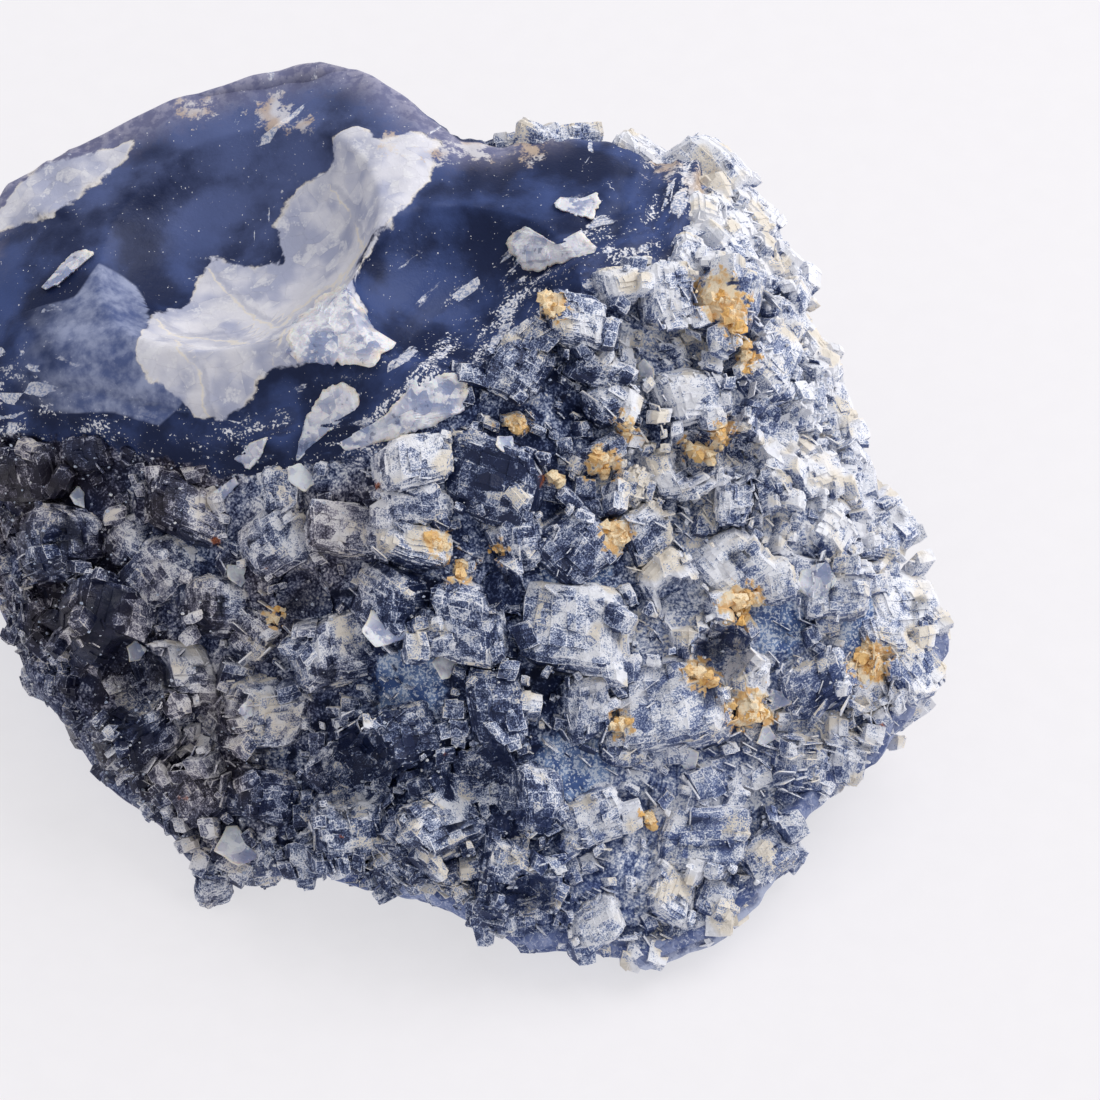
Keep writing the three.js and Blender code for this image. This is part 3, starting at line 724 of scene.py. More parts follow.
def marks(points, front):
    """The signed distances that steer colour, for stone-frame points that face the viewer or don't."""
    across, up, out = to_drawn(points).T
    beyond, along = beyond_crust(across, up)
    seen = {
        "seam": -from_seams(across, up),
        "seam_side": seam_side(across, up),
        "sheet": deepest_inside(across, up, SHEETS),
        "veil": veil_strength(across, up),
        "cream": nearest_site(across, up, CREAM_SITES),
        "sugar": nearest_site(across, up, SUGAR_SITES),
    }
    numbers = {name: np.where(front, values, OUT_OF_SIGHT) for name, values in seen.items()}
    numbers["beyond"] = np.where(front, beyond, REAR_CRUST_FROM - across)
    numbers["along"] = np.where(front, along, up + out)
    numbers["inside"] = depth_inside(across, up, OUTLINE)
    return numbers


print("distance to the seams at the middle, mm:", from_seams(np.zeros(1), np.zeros(1)).round(1))

# %% [markdown]
# ## The body of the stone
#
# A cut stone could be sculpted, but a break like this one follows a few simple rules: broad scoops,
# ripples that spread from where the blow fell, and ledges that run along the border of the crust. Each
# is a formula added along the outward direction. Under the crust the body is only a rough bed, sunk a
# little so that the crystals stand on it. Along the lower rim it is a bare foot.

# %% Body shape
BODY_COUNT = 216
BLOW = [-24, 27, 0]
RIPPLE_EVERY = 2.1


def smooth_relief(points, numbers):
    """Rolling swells, faint ripples round the blow, ledges along the border and raised pale sheets."""
    drawn = to_drawn(points)
    swell = 0.30 * noise(points, 6.0) + 0.10 * noise(points, 2.3)
    from_blow = np.linalg.norm(drawn - BLOW, axis=1)
    ripple = 0.05 * np.sin(2 * np.pi * from_blow / RIPPLE_EVERY + 1.5 * noise(points, 5.0))
    along, beyond = numbers["along"], numbers["beyond"]
    streak = np.column_stack([along / 4.5, beyond / 0.8, np.zeros(len(points))])
    fine_streak = np.column_stack([along / 2.2, beyond / 0.4, np.full(len(points), 7.0)])
    near_border = eased(7 - beyond, 0, 4)
    ledge = (0.34 * noise(streak, 1.0) + 0.12 * noise(fine_streak, 1.0)) * near_border
    sheet_edge = numbers["sheet"] + 0.6 * noise(points, 1.6) + 0.25 * noise(points, 0.6)
    fold = 0.08 * np.maximum(0, 1 - np.abs(numbers["seam"]) / 0.8)
    on_sheet = eased(sheet_edge, -0.1, 0.25)
    return swell + ripple + ledge + on_sheet * (0.18 + fold + 0.12 * noise(points, 1.4))


def crust_relief(points):
    """A rough bed of lumps of three sizes, sunk under the crystals."""
    return -0.35 + 0.35 * noise(points, 1.7) + 0.22 * noise(points, 0.8) + 0.10 * noise(points, 0.45)


def foot_relief(points):
    """The bare foot stands out nearly as far as the crust beside it, with small lumps."""
    return CRUST_PROUD * 0.8 + 0.22 * noise(points, 1.5) + 0.12 * noise(points, 0.7)


def foot_share(angle, tip, drawn):
    """One on the bare foot, eased to nought past its two ends and away from the rim, less in the shade."""
    degrees = whole_degrees(angle)
    first, last = FOOT_SPAN
    span = eased(degrees, first - 5, first + 5) * eased(-degrees, -last - 5, 5 - last)
    near_rim = eased(-np.abs(np.degrees(tip) - 90), -FOOT_NEAR - 4, 2 - FOOT_NEAR)
    return span * near_rim * (1 - SHADE_NARROWS * shaded_side(drawn))


body_angle, body_tip, body_quads = pillow_grid(BODY_COUNT)
body_front = body_tip <= np.pi / 2
body_drawn = pressed(pressed(drawn_surface(body_angle, body_tip), SCOOPS), CUP_BALLS)
body_points = place(body_drawn)
body_numbers = marks(body_points, body_front)
in_smooth = eased(body_numbers["beyond"] + 0.8 * noise(body_points, 2.5), -0.8, 0.6)
relief = in_smooth * smooth_relief(body_points, body_numbers) + (1 - in_smooth) * crust_relief(body_points)
on_foot = foot_share(body_angle, body_tip, body_drawn)
relief = relief * (1 - on_foot) + on_foot * foot_relief(body_points)
body_points = body_points + outward(body_points, body_quads) * relief[:, None]
body_points[:, 2] = np.maximum(body_points[:, 2], 0)
body_numbers["foot"] = on_foot
# Nearness to the rim, which steers the painted light along the foot's rim.
body_numbers["edge"] = eased(-np.abs(np.degrees(body_tip) - 90), -4, 0)
print("body, mm:", body_points.min(0).round(1), body_points.max(0).round(1))

# %% [markdown]
# ## Crystals built of plates
#
# Up close each block is a stack of thin plates that ended their growth at different heights, the inner
# ones higher than the outer ones. The block grid gives that look cheaply: the field between two close
# pairs of lines is one plate, and each plate is moved in or out by its own amount and by its ring.
# Rounded corners, a narrower top, a lean to each side and a little noise keep two blocks from ever being
# alike. For the finish, each corner of a face knows how far it is from its plate's edges and from the
# whole face's edges.

# %% Blocks of plates
HAIRLINE = 0.035
NARROWEST = 0.26
WEDGE = 0.26


def line_places(count, lines):
    """Uneven plates with hairline gaps: scattered widths, summed and scaled to run from -1 to 1."""
    block, axis, step = np.ogrid[:count, :3, :lines - 1]
    widths = np.where(step % 2 == 0, 0.45 + scatter(block, axis * 3.1, step), HAIRLINE)
    places = np.concatenate([np.zeros((count, 3, 1)), widths.cumsum(-1)], -1)
    return 2 * places / places[..., -1:] - 1


print("lines of a plated block:", line_places(1, 6)[0, 0].round(2))

# %% [markdown]
# The finish has to know where each plate ends. Every corner of a quad gets its distances from the low and
# the high edges of its plate, and from those of the whole face, worked out from the same lines.

# %% Distances to the edges of plates
def edge_maps(places, halves, sides):
    """For each quad corner: its distances from the plate's two low and two high edges, and the face's."""
    axis, high, low_first, low_second = sides.T
    rows = np.arange(len(places))[:, None]
    ends = []
    for in_plane, low in (((axis + 1) % 3, low_first), ((axis + 2) % 3, low_second)):
        size = halves[:, in_plane]
        low_edge, top_edge = (size * (places[rows, in_plane, line] + 1) for line in (low, low + 1))
        ends.append((low_edge, top_edge, size * 2))
    first, second = ends
    order = np.array([[[0, 0], [0, 1], [1, 1], [1, 0]], [[0, 0], [1, 0], [1, 1], [0, 1]]])[high]
    maps = {"from_edge": [], "to_edge": [], "from_face": [], "to_face": []}
    for pick, (low, top, whole) in zip((0, 1), (first, second)):
        chosen = order[None, :, :, pick]
        spot = np.where(chosen == 1, top[..., None], low[..., None])
        maps["from_edge"].append(spot - low[..., None])
        maps["to_edge"].append(top[..., None] - spot)
        maps["from_face"].append(spot)
        maps["to_face"].append(whole[..., None] - spot)
    return {key: np.stack(pair, -1).reshape(-1, 2) for key, pair in maps.items()}


print("edge maps hold four pairs of distances")

# %% [markdown]
# With the lines and the edges in hand, one function makes any number of blocks at once, as whole arrays.

# %% Many blocks at once
def plated_blocks(middles, axes, halves, lines, squareness, shift, terrace, rough):
    """Points, quads, edge maps and tones of many blocks.

    A lattice point is pulled to a rounded cube (divided by its own power mean), scaled to the block's
    half sizes, narrowed towards the top, leaned to three sides, moved by its plate's shift and by a
    terrace for each ring of plates inwards, and set down in the block's axes.
    """
    count = len(middles)
    lattice, quads, sides = block_grid(lines)
    places = line_places(count, lines)
    cube = np.stack([places[:, axis, lattice[:, axis]] for axis in range(3)], -1)
    power = squareness[:, None, None]
    rounded = cube / (np.abs(cube) ** power).sum(-1, keepdims=True) ** (1 / power)
    block = np.arange(count)[:, None]
    local = rounded * halves[:, None]
    local[..., :2] *= (1 - NARROWEST * scatter(block, 7.7) * (1 + cube[..., 2]) / 2)[..., None]
    for moved, by in ((0, 2), (1, 0), (2, 1)):
        local[..., moved] += WEDGE * (2 * scatter(block, 11.3 + moved) - 1) * local[..., by]
    plate = lattice // 2
    last = plate.max()
    for axis in range(3):
        first, second = plate[:, (axis + 1) % 3], plate[:, (axis + 2) % 3]
        ring = np.min([first, last - first, second, last - second], 0)
        for end, sign in ((0, -1), (lines - 1, 1)):
            step = scatter(block * 1.3 + axis + 0.5 * sign, first, second * 1.9) - 0.65
            step = shift[:, None] * step + terrace[:, None] * ring
            local[..., axis] += sign * step * (lattice[:, axis] == end)
    points = middles[:, None] + np.einsum("kpi,kji->kpj", local, axes)
    points = points.reshape(-1, 3)
    points = points + rough * wobble(points, 1.7) + 0.4 * rough * wobble(points, 0.6)
    all_quads = (quads[None] + (np.arange(count) * len(lattice))[:, None, None]).reshape(-1, 4)
    tones = np.repeat(scatter(np.arange(count), 3.3), len(lattice))
    return points, all_quads, edge_maps(places, halves, sides), tones


print("shares of a block's width lost at its top, most:", NARROWEST)

# %% [markdown]
# Where a block reaches over one of the cups, the cup's wall cuts it. The wall is made uneven there, so
# that it looks broken out and not turned on a lathe.

# %% The large crystals
def settled(points):
    """Crystal points cut back to the wall of each cup, uneven there, and kept above what it lies on.

    Over a cup, a point that stands out further than the inner wall of the cup's ball moves back to it.
    """
    drawn = to_drawn(points)
    out = drawn[:, 2].copy()
    for across, up, middle, radius in CUP_BALLS:
        deep = radius ** 2 - (drawn[:, 0] - across) ** 2 - (drawn[:, 1] - up) ** 2
        out = np.where(deep > 0, np.minimum(out, middle - np.sqrt(np.maximum(deep, 0))), out)
    moved = (out < drawn[:, 2])[:, None]
    drawn[:, 2] = out
    points = place(drawn) + moved * (0.18 * wobble(points, 0.9) + 0.10 * wobble(points, 0.4))
    points[:, 2] = np.maximum(points[:, 2], 0)
    return points


LARGE_LINES = 14
LARGE_ROUGH = 0.20
block_row = np.arange(len(block_middles))
large_chance = scatter(block_row, 5.1)
lumpy = shaded_side(to_drawn(block_middles))
large_squareness = 5.0 + 4.0 * scatter(block_row, 8.8) - 1.4 * lumpy
large_shift = 0.08 + 0.26 * large_chance ** 2
large_terrace = 0.02 + 0.11 * (1 - large_chance)
large = plated_blocks(
    block_middles, block_axes, block_halves, LARGE_LINES,
    large_squareness, large_shift, large_terrace, LARGE_ROUGH,
)
large_points = settled(large[0])
print(len(block_row), "large blocks:", 2 * len(large[1]), "triangles")

# %% [markdown]
# ## Small crystals on the large ones
#
# Smaller blocks grew in the gaps and along the edges of the large ones, mostly turned the same way,
# because new layers follow the layers under them. A ray from the body's surface outwards finds the last
# large block that it leaves, and the small block sits at that place with that block's turn and a little
# lean of its own. Few of them stand in the middle of a large face.

# %% Small blocks
SMALL_TRIES = 6400
SMALL_LEAST, SMALL_MOST = 0.6, 2.6
SMALL_LINES = 4
SMALL_NEAR = 4
SMALL_LEANS = [18, 18, 30]
SMALL_SUNK = 0.26
SMALL_ROUGH = 0.16
MIDDLE_OF_FACE = 0.74
FEW_ON_FACE = 0.12
FEWER_IN_SHADE = 0.45
QUIET_ACROSS, QUIET_UP = 7, -13


def last_block(starts, directions):
    """How far along each ray it leaves the last block, and which: each block's slabs, tested at once."""
    best = np.zeros(len(starts))
    owner = np.full(len(starts), -1)
    for row, (middle, axes, half) in enumerate(zip(block_middles, block_axes, block_halves)):
        begin = (starts - middle) @ axes
        speed = directions @ axes
        speed = np.where(np.abs(speed) < 1e-9, 1e-9, speed)
        ends = np.stack([(-half - begin) / speed, (half - begin) / speed])
        enters = ends.min(0).max(1)
        leaves = ends.max(0).min(1)
        better = (leaves > np.maximum(enters, 0)) & (leaves > best)
        best[better] = leaves[better]
        owner[better] = row
    return best, owner


def on_blocks(spots, base):
    """Height of the last block over each spot, that block's number, and its axes, or else the surface's."""
    height, owner = last_block(spots, base[:, :, 2])
    return height, owner, np.where((owner >= 0)[:, None, None], block_axes[owner], base)


steps, angles, tips = spread_places(SMALL_TRIES)
small_drawn = drawn_surface(angles, tips)
small_spots = place(small_drawn)
in_front = tips < np.pi / 2
keep = crusted(angles, tips, small_drawn, SMALL_NEAR)
keep &= ~(in_front & (nearest_site(small_drawn[:, 0], small_drawn[:, 1], SUGAR_SITES) > 0))
quiet = in_front & (small_drawn[:, 0] > QUIET_ACROSS) & (small_drawn[:, 1] < QUIET_UP)
keep &= ~(quiet & (scatter(steps, 2.2) > 0.5))
keep &= ~(in_front & (scatter(steps, 7.2) < FEWER_IN_SHADE * shaded_side(small_drawn)))
steps, angles, tips, small_spots = (item[keep] for item in (steps, angles, tips, small_spots))
surface_base = surface_axes(angles, tips)
small_out = surface_base[:, :, 2]
height, owner, small_base = on_blocks(small_spots, surface_base)
exits = small_spots + small_out * height[:, None] - block_middles[owner]
from_middle = np.abs(np.einsum("ki,kij->kj", exits, block_axes[owner])) / block_halves[owner]
on_face = (owner >= 0) & (np.sort(from_middle, axis=1)[:, 1] < MIDDLE_OF_FACE)
keep = ~on_face | (scatter(steps, 3.7) < FEW_ON_FACE)
arrays = (steps, small_spots, small_out, height, small_base)
steps, small_spots, small_out, height, small_base = (item[keep] for item in arrays)
print(len(steps), "places for small blocks of", SMALL_TRIES, "tried")

# %% [markdown]
# The places are settled, so the blocks can be made. Most of them are near the smallest size, because the
# evenly scattered share is squared before it is turned into a size.

# %% The small crystals
small_sizes = SMALL_LEAST + (SMALL_MOST - SMALL_LEAST) * fraction(steps * GOLDEN) ** 2.0
small_axes = turned(small_base, chance_leans(steps, SMALL_LEANS))
small_middles = small_spots + small_out * (height - SMALL_SUNK * small_sizes)[:, None]
small_shape = 0.50 + 0.60 * np.column_stack([scatter(steps, which) for which in (1.1, 4.1, 6.1)])
small_halves = small_sizes[:, None] / 2 * small_shape
small_squareness = 3.5 + 5 * scatter(steps, 12.1)
small = plated_blocks(
    small_middles, small_axes, small_halves, SMALL_LINES, small_squareness,
    0.10 * small_sizes, 0.05 * small_sizes, SMALL_ROUGH,
)
small_points = settled(small[0])
print(len(steps), "small blocks:", 2 * len(small[1]), "triangles")

# %% [markdown]
# ## Upright plates
#
# On and between the blocks stand plates thin as paper, whose edges catch the light as white lines. The
# plates on one block are nearly parallel, as the pages of a book are. They are the same block with only
# its eight corners, made very thin.

# %% Thin plates
PLATE_TRIES = 7000
PLATES_OFF_RIM = 7
PLATES_ROUND_BY = 0.013
PLATE_CLUMPS = 3.4
PLATE_LEANS = [16, 16, 12]
PLATE_SUNK = 0.20
PLATE_SQUARENESS = 30
PLATE_ROUGH = 0.05

steps, angles, tips = spread_places(PLATE_TRIES)
angles = angles + PLATES_ROUND_BY
plate_drawn = drawn_surface(angles, tips)
keep = crusted(angles, tips, plate_drawn, PLATES_OFF_RIM)
keep &= noise(place(plate_drawn), PLATE_CLUMPS) > -0.05
keep &= np.abs(np.degrees(tips) - 90) > PLATES_OFF_RIM
steps, angles, tips, plate_drawn = (item[keep] for item in (steps, angles, tips, plate_drawn))
plate_spots = place(plate_drawn)
surface_base = surface_axes(angles, tips)
height, owner, plate_base = on_blocks(plate_spots, surface_base)
plate_leans = chance_leans(steps, PLATE_LEANS)
plate_leans[:, 2] += 180 * scatter(owner, 6.6)
plate_axes = turned(plate_base, plate_leans)
plate_sizes = 0.5 + 1.0 * scatter(steps, 8.3) ** 2
plate_thick = (0.06 + 0.08 * scatter(steps, 1.9)) / plate_sizes
none = np.zeros(len(steps))
plate_shape = np.column_stack([none + 1, plate_thick, 0.6 + 0.4 * scatter(steps, 2.9)])
plate_middles = plate_spots + surface_base[:, :, 2] * (height - PLATE_SUNK * plate_sizes)[:, None]
plate_halves = plate_sizes[:, None] / 2 * plate_shape
plates = plated_blocks(
    plate_middles, plate_axes, plate_halves, 2, none + PLATE_SQUARENESS, none, none, PLATE_ROUGH,
)
plate_points = settled(plates[0])
print(len(steps), "thin plates:", 2 * len(plates[1]), "triangles")

# %% [markdown]
# ## How high the crust stands at each place
#
# Chips, crumbs and grains rest on whatever stands highest under them. The drawing plane is divided into
# small cells, and each cell keeps the outermost crystal point that falls in it, as a tray of pins keeps
# the shape of what is pressed into it. It starts from the stone's own front surface.

# %% Tray of heights
CELL = 0.55
CELLS = 160


def resting_out(across, up):
    """How far out the front lies, with its fall to the rim and the scoops taken out."""
    share = np.minimum(np.hypot(across, up) / outline_radius(np.arctan2(up, across)), 1)
    rim = np.interp(np.degrees(np.arctan2(up, across)), EDGE[:, 0], EDGE[:, 1])
    out = rim + (front_out(across, up) - rim) * np.sqrt(1 - share ** RIM_POWER)
    for x, y, height, radius in SCOOPS:
        deep = radius ** 2 - (across - x) ** 2 - (up - y) ** 2
        wall = height - np.sqrt(np.maximum(deep, 0))
        out = np.where((deep > 0) & (height > 0), np.minimum(out, wall), out)
    return out


def cell_of(drawn):
    """Row and column of the cell that a drawn place falls in."""
    return tuple(np.clip(np.floor(drawn[:, :2] / CELL).astype(int) + CELLS // 2, 0, CELLS - 1).T)


cell_middles = (np.arange(CELLS) - CELLS // 2 + 0.5) * CELL
cell_across, cell_up = np.meshgrid(cell_middles, cell_middles, indexing="ij")
tray = resting_out(cell_across.ravel(), cell_up.ravel()).reshape(CELLS, CELLS)
for crystal_points in (large_points, small_points, body_points[body_front]):
    drawn = to_drawn(crystal_points)
    np.maximum.at(tray, cell_of(drawn), drawn[:, 2])
print("tray heights, mm:", np.percentile(tray, [1, 50, 99]).round(1))

# %% [markdown]
# ## Chips and flakes
#
# Where the stone broke, thin chips lifted but stayed on. A chip is a pillow whose outline is read from its
# corners and roughened a little, whose top is nearly flat and whose underside reaches into the stone. It
# lies half along the flat face under its middle and half along the curved surface itself, so one side
# lifts off as on the real stone.

# %% Chips on the smooth top
CHIPS = [
    [0.55, [-7.3, 15.3], [-6.4, 13.8], [-5.2, 12.0], [-3.9, 11.2], [-5.5, 9.9], [-7.8, 9.8],
     [-10.1, 10.0], [-10.9, 10.7], [-10.7, 12.5], [-9.1, 14.0]],
    [0.4, [-27.3, 15.0], [-26.7, 15.7], [-25.2, 17.4], [-24.1, 17.7], [-23.8, 17.2], [-24.7, 16.4],
     [-26.0, 15.3], [-26.9, 14.8]],
    [0.45, [3.0, 17.9], [4.2, 19.0], [5.2, 18.3], [6.2, 17.7], [7.3, 19.2], [8.8, 17.4], [8.6, 17.0],
     [6.2, 16.4], [5.2, 15.9], [4.2, 16.0], [3.6, 16.9]],
    [0.3, [6.1, 20.4], [6.5, 20.8], [7.8, 20.7], [8.8, 21.1], [9.0, 20.5], [8.7, 19.3], [7.5, 19.5],
     [6.5, 20.0]],
    [0.4, [-7.3, 5.2], [-5.7, 5.7], [-3.9, 7.3], [-2.9, 8.8], [-1.3, 9.4], [0.0, 9.1], [0.5, 8.1],
     [0.4, 6.8], [-1.6, 6.0], [-3.4, 5.2], [-5.2, 4.7], [-7.0, 4.3]],
    [0.45, [-10.4, 3.9], [-9.6, 6.8], [-8.6, 8.1], [-7.3, 8.7], [-6.5, 8.3], [-5.7, 6.6], [-7.3, 6.2],
     [-8.3, 5.5], [-9.6, 4.4], [-10.3, 3.5]],
    [0.35, [-14.3, 3.9], [-13.3, 4.9], [-12.2, 5.2], [-12.5, 4.2], [-13.3, 3.1]],
    [0.3, [-16.3, 1.4], [-14.3, 2.7], [-14.0, 2.3], [-15.3, 1.0]],
]
CHIP_COUNT = 28
CHIP_ROOT = 1.4
CHIP_SPAN = 0.6
CHIP_LIFT = 0.8


def jagged(angle, seed):
    """A broken outline: a share near one that wanders with the direction in three sizes of step."""
    around = np.column_stack([np.cos(angle), np.sin(angle), 0 * angle + seed])
    steps_of = ((0.10, 2.6), (0.07, 7.0), (0.045, 17.0))
    return 1 + sum(amount * noise(around * times, 1.0) for amount, times in steps_of)


def chip(stand, corners):
    """A chip's points: outline share by direction, half plane and half surface, plus its stand."""
    corners = np.array(corners)
    middle = corners.mean(0)
    angle, tip, quads = pillow_grid(CHIP_COUNT)
    share = np.sin(tip)
    radius = reach(angle, corners - middle) * share * jagged(angle, 10 * stand + len(corners))
    across = middle[0] + radius * np.cos(angle)
    up = middle[1] + radius * np.sin(angle)
    ends = np.array([[CHIP_SPAN, 0], [-CHIP_SPAN, 0], [0, CHIP_SPAN], [0, -CHIP_SPAN], [0, 0]]) + middle
    right, left, top, foot, here = resting_out(ends[:, 0], ends[:, 1])
    slope = np.array([right - left, top - foot]) / (2 * CHIP_SPAN)
    flat = here + slope[0] * (across - middle[0]) + slope[1] * (up - middle[1])
    surface = resting_out(across, up)
    dome = np.sqrt(np.maximum(0, 1 - share ** 16))
    points = place(np.column_stack([across, up, 0 * across]))
    roll = 0.16 * noise(points, 1.6) + 0.07 * noise(points, 0.55)
    roll = roll + 0.10 * np.floor(2.5 * noise(points, 2.2))
    lift = CHIP_LIFT * stand
    out = (flat + surface) / 2 + np.where(tip <= np.pi / 2, lift * dome + roll, -CHIP_ROOT * dome)
    return place(np.column_stack([across, up, out])), quads, share


def joined(parts):
    """Several point sets and quad sets as one, with the quads counted on."""
    starts = np.cumsum([0] + [len(part[0]) for part in parts[:-1]])
    quads = np.concatenate([part[1] + start for part, start in zip(parts, starts)])
    return np.concatenate([part[0] for part in parts]), quads, np.concatenate([part[2] for part in parts])


chip_points, chip_quads, chip_share = joined([chip(stand, corners) for stand, *corners in CHIPS])
print(len(CHIPS), "chips:", 2 * len(chip_quads), "triangles")

# %% [markdown]
# Smaller flakes stuck in the crust. A flake is a thin plate with a few straight broken sides: in each
# direction its outline is the nearest of five lines, each at its own distance. Each flake tilts its own
# way on top of the crystals.

# %% Flakes in the crust
FLAKES = np.array([
    [-4.8, -7.1, 1.6, -30, 15], [-0.8, -9.3, 1.1, -10, 30], [-14.4, -21.0, 1.5, -30, 10],
    [-13.6, -12.2, 0.8, 10, 50], [23.0, -4.0, 1.4, -10, -15], [-20.9, -8.5, 0.7, 15, 20],
    [3.0, 4.8, 0.8, -20, 35], [12.0, 9.5, 0.7, 15, -20], [-9.9, 2.6, 1.0, -15, 10],
    [14.8, -15.2, 0.8, 25, -10], [19.6, -13.9, 0.7, 5, 20], [-24.6, 1.5, 0.8, -25, 25],
    [-14.0, -3.5, 0.9, -20, 20], [20.5, -11.5, 0.9, -10, -10],
])
FLAKE_COUNT = 10
FLAKE_SIDES = 5
FLAKE_THICK = 0.09


def flake(row):
    """A thin tilted plate: the nearest of five lines round it times the share, and a slight crown."""
    across, up, size, lean_up, lean_across = FLAKES[row]
    angle, tip, quads = pillow_grid(FLAKE_COUNT)
    share = np.sin(tip)
    side = np.arange(FLAKE_SIDES)
    side_angle = 2 * np.pi * (side + 0.5 * scatter(side, 3.1 * row)) / FLAKE_SIDES
    side_far = 0.55 + 0.45 * scatter(side, 5.7 * row)
    toward = np.maximum(np.cos(angle[:, None] - side_angle), 0.05)
    radius = size * share * np.minimum((side_far / toward).min(1), 1.3)
    crown = np.where(tip <= np.pi / 2, 1, -1) * FLAKE_THICK * np.sqrt(np.maximum(0, 1 - share ** 8))
    local = np.column_stack([radius * np.cos(angle), radius * np.sin(angle), crown])
    local = local + 0.07 * wobble(local + 5.3 * row, 0.5)
    local[:, 2] += 0.25 * local[:, 0] ** 2 / size
    standing = tray[cell_of(np.array([[across, up]]))][0]
    axes = turned(AXES.T, np.array([lean_up, lean_across, 37.0 * row]))
    return place(np.array([[across, up, standing]])) + local @ axes.T, quads, share


flake_points, flake_quads, flake_share = joined([flake(row) for row in range(len(FLAKES))])
print(len(FLAKES), "flakes:", 2 * len(flake_quads), "triangles")

# %% [markdown]
# ## Crumbs and grains
#
# Ochre clay dried into crumbs in the corners of the crust, and pale grains settled on it. Each is a small
# pillow, a lumpy ball: one shape is worked out once and set down hundreds of times with its own place,
# size and turn, as whole arrays.

# %% Crumbs of ochre
def sprinkled(spots, sizes, count, lumpy):
    """Lumpy balls at many places: a pillow's unit ball, uneven by noise, times each size."""
    angle, tip, quads = pillow_grid(count)
    ball = np.column_stack([np.sin(tip) * np.cos(angle), np.sin(tip) * np.sin(angle), np.cos(tip)])
    number = np.arange(len(spots))[:, None, None]
    points = spots[:, None] + sizes[:, None, None] * ball * [1.0, 1.0, 0.75]
    points = points + lumpy * sizes[:, None, None] * wobble(ball * 1.7 + 7.7 * number, 1.0)
    all_quads = (quads + (np.arange(len(spots)) * len(ball))[:, None, None]).reshape(-1, 4)
    return points.reshape(-1, 3), all_quads, np.repeat(scatter(np.arange(len(spots)), 1.2), len(ball))


CRUMB_LONG, CRUMB_WIDE = 1.35, 0.60
CRUMB_SUNK = 0.55
crumb_counts = np.maximum(5, 15 * OCHRE_SITES[:, 2] ** 2).astype(int)
crumb_site = np.repeat(np.arange(len(OCHRE_SITES)), crumb_counts)
crumb_step = np.arange(len(crumb_site))
crumb_round = 2 * np.pi * fraction(crumb_step * GOLDEN)
on_ring = np.column_stack([np.cos(crumb_round), np.sin(crumb_round), 7.3 * crumb_site])
lobes = 0.65 + 0.5 * noise(on_ring, 0.7)
crumb_far = OCHRE_SITES[crumb_site, 2] * lobes * fraction(crumb_step * PLASTIC[0]) ** 0.5
crumb_lie = np.pi * scatter(crumb_site, 4.4)
crumb_long = CRUMB_LONG * crumb_far * np.cos(crumb_round)
crumb_wide = CRUMB_WIDE * crumb_far * np.sin(crumb_round)
crumb_across = OCHRE_SITES[crumb_site, 0] + crumb_long * np.cos(crumb_lie) - crumb_wide * np.sin(crumb_lie)
crumb_up = OCHRE_SITES[crumb_site, 1] + crumb_long * np.sin(crumb_lie) + crumb_wide * np.cos(crumb_lie)
crumb_sizes = 0.10 + 0.38 * scatter(crumb_step, 2.4) ** 2
crumb_drawn = np.column_stack([crumb_across, crumb_up, 0 * crumb_up])
crumb_drawn[:, 2] = tray[cell_of(crumb_drawn)] - CRUMB_SUNK * crumb_sizes
crumb_points, crumb_quads, crumb_tone = sprinkled(place(crumb_drawn), crumb_sizes, 4, 0.7)
print(len(crumb_site), "crumbs:", 2 * len(crumb_quads), "triangles")

# %% [markdown]
# The pale grains lie all over the front of the crust, in loose drifts. They are so small that a ball of
# two squares across is round enough.

# %% Pale grains
GRAIN_TRIES = 11000
GRAINS_ROUND_BY = 0.021
steps, angles, tips = spread_places(GRAIN_TRIES)
grain_drawn = drawn_surface(angles + GRAINS_ROUND_BY, tips)
keep = crusted(angles, tips, grain_drawn) & (tips < np.pi / 2)
keep &= noise(place(grain_drawn), 3.0) > -0.25
grain_drawn = grain_drawn[keep]
grain_drawn[:, 2] = tray[cell_of(grain_drawn)] - 0.15 * scatter(steps[keep], 5.5)
grain_sizes = 0.04 + 0.09 * scatter(steps[keep], 3.4) ** 2
grain_points, grain_quads, grain_tone = sprinkled(place(grain_drawn), grain_sizes, 2, 0.5)
print(keep.sum(), "grains:", 2 * len(grain_quads), "triangles")

# %% [markdown]
# ## How deep each point lies in a hollow
#
# The finish paints shade into hollows, and paints the places that stand out paler. A point lies in a
# hollow when the middle of its neighbourhood lies further out than the point does. The neighbourhood
# is a block of small cubes of space, in which the crystal points are counted and averaged. Every
# second point is enough for that.

# %% Hollow depths
CUBE = 0.9
SPACE = np.array([84, 76, 44])
SPACE_START = [42, 38, 4]
EVERY = 2
FEWEST = 6
DEEPEST = 1.2
STONE_MIDDLE = np.array([0, 0, 10.0])


def cube_of(points):
    """The small cube of space that each point falls in."""
    return tuple(np.clip(np.floor(points / CUBE).astype(int) + SPACE_START, 1, SPACE - 2).T)


def neighbourhood(values):
    """The sum over each cube and the cubes around it, one direction after another."""
    for axis in range(3):
        values = values + np.roll(values, 1, axis) + np.roll(values, -1, axis)
    return values


count_in = np.zeros(SPACE)
sum_in = np.zeros(tuple(SPACE) + (3,))
outer_points = np.concatenate([large_points, small_points, plate_points])[:: EVERY]
np.add.at(count_in, cube_of(outer_points), 1)
np.add.at(sum_in, cube_of(outer_points), outer_points)
count_near = neighbourhood(count_in)
middle_near = neighbourhood(sum_in) / np.maximum(count_near, 1)[..., None]


